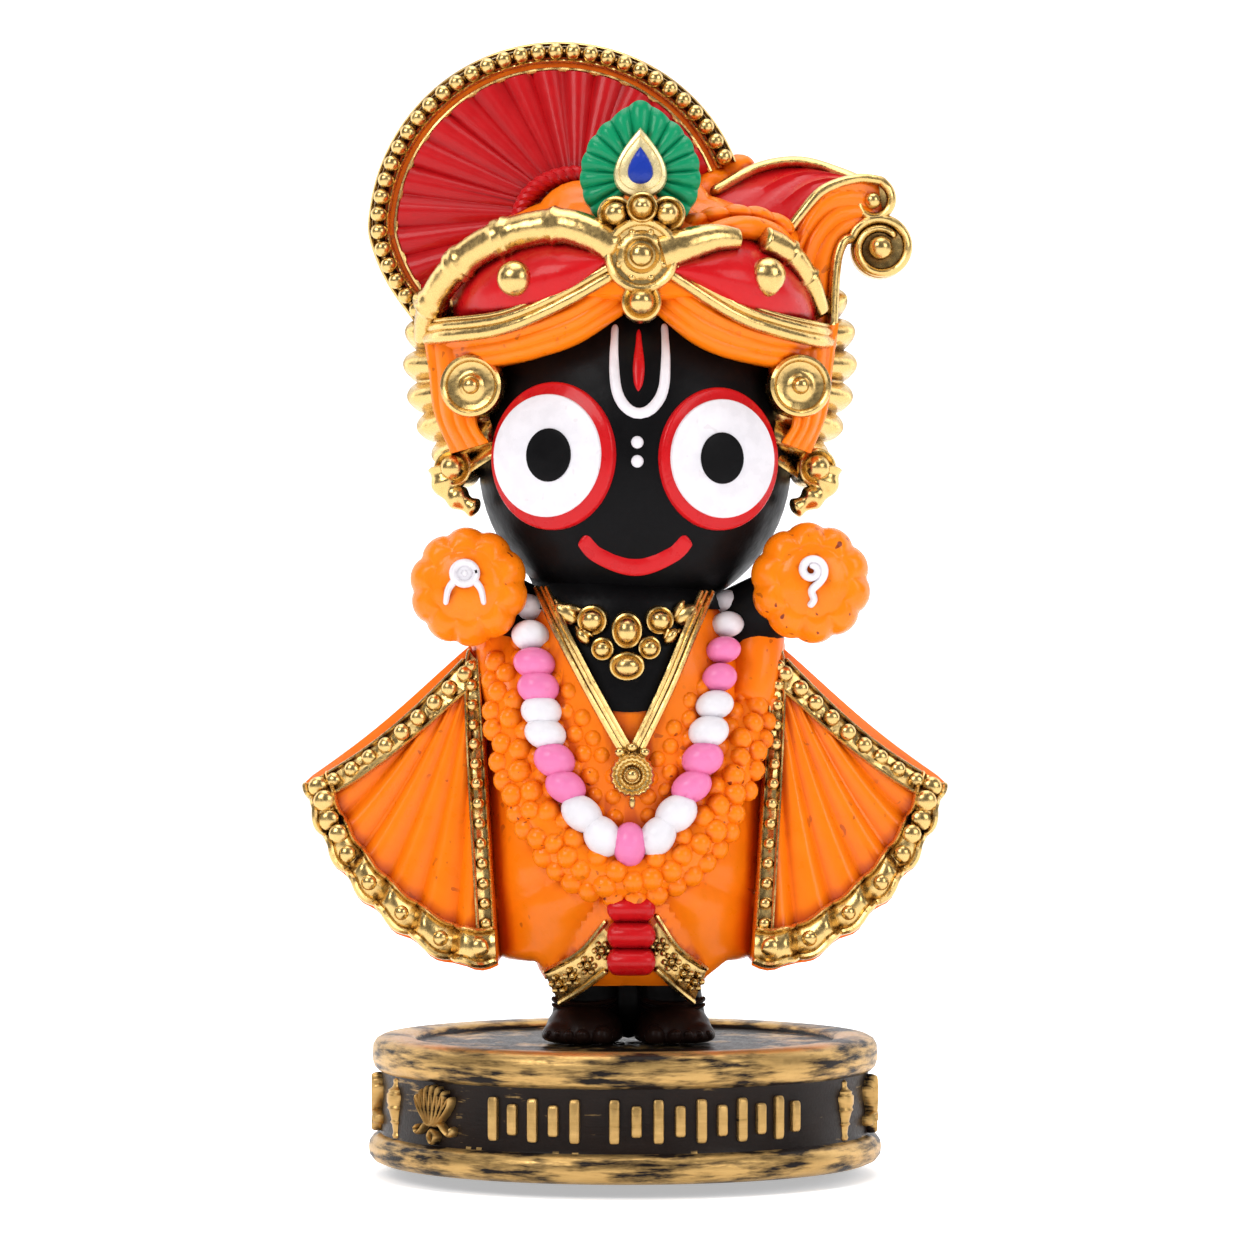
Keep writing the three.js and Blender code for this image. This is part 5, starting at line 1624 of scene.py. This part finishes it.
def finished(obj):
    """Smooth skin with crisp creases, and a report of what was made."""
    work = bmesh.new()
    work.from_mesh(obj.data)
    removed = without_doubles(work)
    holes = [e for e in work.edges if e.is_boundary]
    bmesh.ops.holes_fill(work, edges=holes, sides=16)
    bmesh.ops.triangulate(work, faces=[f for f in work.faces if len(f.verts) > 4])
    removed += without_doubles(work)
    open_edges = sum(1 for e in work.edges if len(e.link_faces) < 2)
    crowded = sum(1 for e in work.edges if len(e.link_faces) > 2)
    print(obj.name, "doubled faces", removed, "hole edges filled", len(holes), "edges of more than two faces", crowded)
    work.to_mesh(obj.data)
    work.free()
    obj.data.validate()
    obj.data.shade_smooth()
    obj.data.set_sharp_from_angle(angle=math.radians(38))
    triangles = sum(len(p.vertices) - 2 for p in obj.data.polygons)
    print(obj.name, len(obj.data.polygons), "faces,", triangles, "triangles, open edges", open_edges)
    return obj


figure = finished(joined("figure_cast", [c for c in casting if c[3] == "figure"], placed))
base = finished(joined("plinth_cast", [c for c in casting if c[3] == "plinth"], lambda p: p * MM))

# %% [markdown]
# ## Flat soles
# The feet are eggs that dip below the soles' level. Points under that level are drawn up to it, so the figure
# stands flat on the plinth's floor.

# %% Soles
def flat_below(obj, level):
    co = np.empty(len(obj.data.vertices) * 3)
    obj.data.vertices.foreach_get("co", co)
    co = co.reshape(-1, 3)
    sunk = co[:, 2] < level
    co[sunk, 2] = level
    obj.data.vertices.foreach_set("co", co.reshape(-1))
    obj.data.update()
    return int(sunk.sum())


print("points drawn up to the soles:", flat_below(figure, FEET))

# %% [markdown]
# ## Hollows
# Paint pools and dust gathers where the carving is deep, and the paints darken there as painted shade too. To know
# where that is, rays are sent out from each point of the skin: the more of them meet the skin again close by, the
# deeper the point lies. The share is stored as `hollow` and read by the paints.

# %% Measuring the hollows
def measure_hollows(obj, reach, rays):
    from mathutils import Vector
    from mathutils.bvhtree import BVHTree

    mesh = obj.data
    tree = BVHTree.FromPolygons([v.co for v in mesh.vertices], [p.vertices for p in mesh.polygons])
    rng = np.random.default_rng(7)
    ways = unit(rng.normal(size=(rays, 3)))
    normals = np.empty(len(mesh.vertices) * 3)
    mesh.vertices.foreach_get("normal", normals)
    normals = normals.reshape(-1, 3)
    hits = np.zeros(len(mesh.vertices))
    for i, vertex in enumerate(mesh.vertices):
        n = normals[i]
        start = vertex.co + Vector(n * 0.00006)
        for way in unit(ways * 0.95 + n):
            found = tree.ray_cast(start, Vector(way), reach)
            if found[0] is not None:
                hits[i] += 1 - found[3] / reach
    share = np.clip(hits / rays * 1.6, 0, 1)
    attribute = mesh.attributes.new("hollow", "FLOAT", "POINT")
    attribute.data.foreach_set("value", share.astype(np.float32))
    return share.mean()


rays = 10
for obj in (figure, base):
    print(obj.name, "mean hollow", round(float(measure_hollows(obj, 0.0028, rays)), 3))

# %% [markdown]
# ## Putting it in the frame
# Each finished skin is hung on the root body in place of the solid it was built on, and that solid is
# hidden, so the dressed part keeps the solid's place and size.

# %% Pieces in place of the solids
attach(figure, "root")
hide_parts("figure")
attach(base, "root")
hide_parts("plinth")

# %% [markdown]
# ## Studio
# The photograph is a plain product shot: white floor and backdrop, soft light from above and from both sides, and
# a level camera in front. Gold needs something dark to mirror as well as something bright, so the world is dim
# and the light comes from a few large soft lamps.

# %% Floor, lamps and camera
def sweep():
    profile = [(-3.0, 0.0), (0.5, 0.0), (0.72, 0.02), (0.9, 0.09), (1.03, 0.22), (1.1, 0.42), (1.12, 3.0)]
    line = smooth_line([(0, y, z) for y, z in profile])(np.linspace(0, 1, 60))
    points = [(x, y, z) for _, y, z in line for x in (-4.0, 4.0)]
    faces = [[2 * i, 2 * i + 1, 2 * i + 3, 2 * i + 2] for i in range(59)]
    mesh = bpy.data.meshes.new("studio_sweep")
    mesh.from_pydata(points, [], faces)
    mesh.shade_smooth()
    return bpy.data.objects.new("studio_sweep", mesh)


floor = sweep()
bpy.context.scene.collection.objects.link(floor)
tree, shader = new_paint("studio white")
shader.inputs["Base Color"].default_value = (0.9, 0.9, 0.91, 1)
shader.inputs["Roughness"].default_value = 0.9
shader.inputs["Emission Color"].default_value = (1, 1, 1, 1)
shader.inputs["Emission Strength"].default_value = 0.45
floor.data.materials.append(paints["studio white"])

world = bpy.data.worlds.new("studio")
world.use_nodes = True
world.node_tree.nodes["Background"].inputs["Color"].default_value = (0.9, 0.92, 1.0, 1)
world.node_tree.nodes["Background"].inputs["Strength"].default_value = 0.22
bpy.context.scene.world = world


def lamp(name, place, aim, size, power, tall=None):
    from mathutils import Vector

    light = bpy.data.lights.new(name, "AREA")
    light.shape = "RECTANGLE"
    light.size, light.size_y = size, tall or size
    light.energy = power
    obj = bpy.data.objects.new(name, light)
    obj.location = place
    obj.rotation_euler = (Vector(aim) - Vector(place)).to_track_quat("-Z", "Y").to_euler()
    bpy.context.scene.collection.objects.link(obj)


middle_of_figure = (0, 0, 0.055)
lamp("key", (-0.45, -0.55, 0.55), middle_of_figure, 0.4, 3.0)
lamp("fill", (0.55, -0.5, 0.35), middle_of_figure, 0.4, 1.8)
lamp("top", (0.0, -0.05, 0.75), middle_of_figure, 0.5, 2.2)
lamp("left edge", (-0.5, 0.25, 0.25), middle_of_figure, 0.3, 0.7, 0.6)
lamp("right edge", (0.5, 0.25, 0.25), middle_of_figure, 0.3, 0.7, 0.6)
lamp("backdrop", (0.0, 0.4, 1.2), (0.0, 1.1, 0.3), 1.2, 6.0)

camera = bpy.data.cameras.new("camera")
camera.sensor_width = 36
camera.lens = 18 / (0.0627 / 0.534)
eye_point = bpy.data.objects.new("camera", camera)
eye_point.location = (0.0002, -0.534, 0.0533)
eye_point.rotation_euler = (math.pi / 2, 0, 0)
camera.clip_start, camera.clip_end = 0.01, 20
bpy.context.scene.collection.objects.link(eye_point)
bpy.context.scene.camera = eye_point
bpy.context.scene.view_settings.view_transform = "Standard"
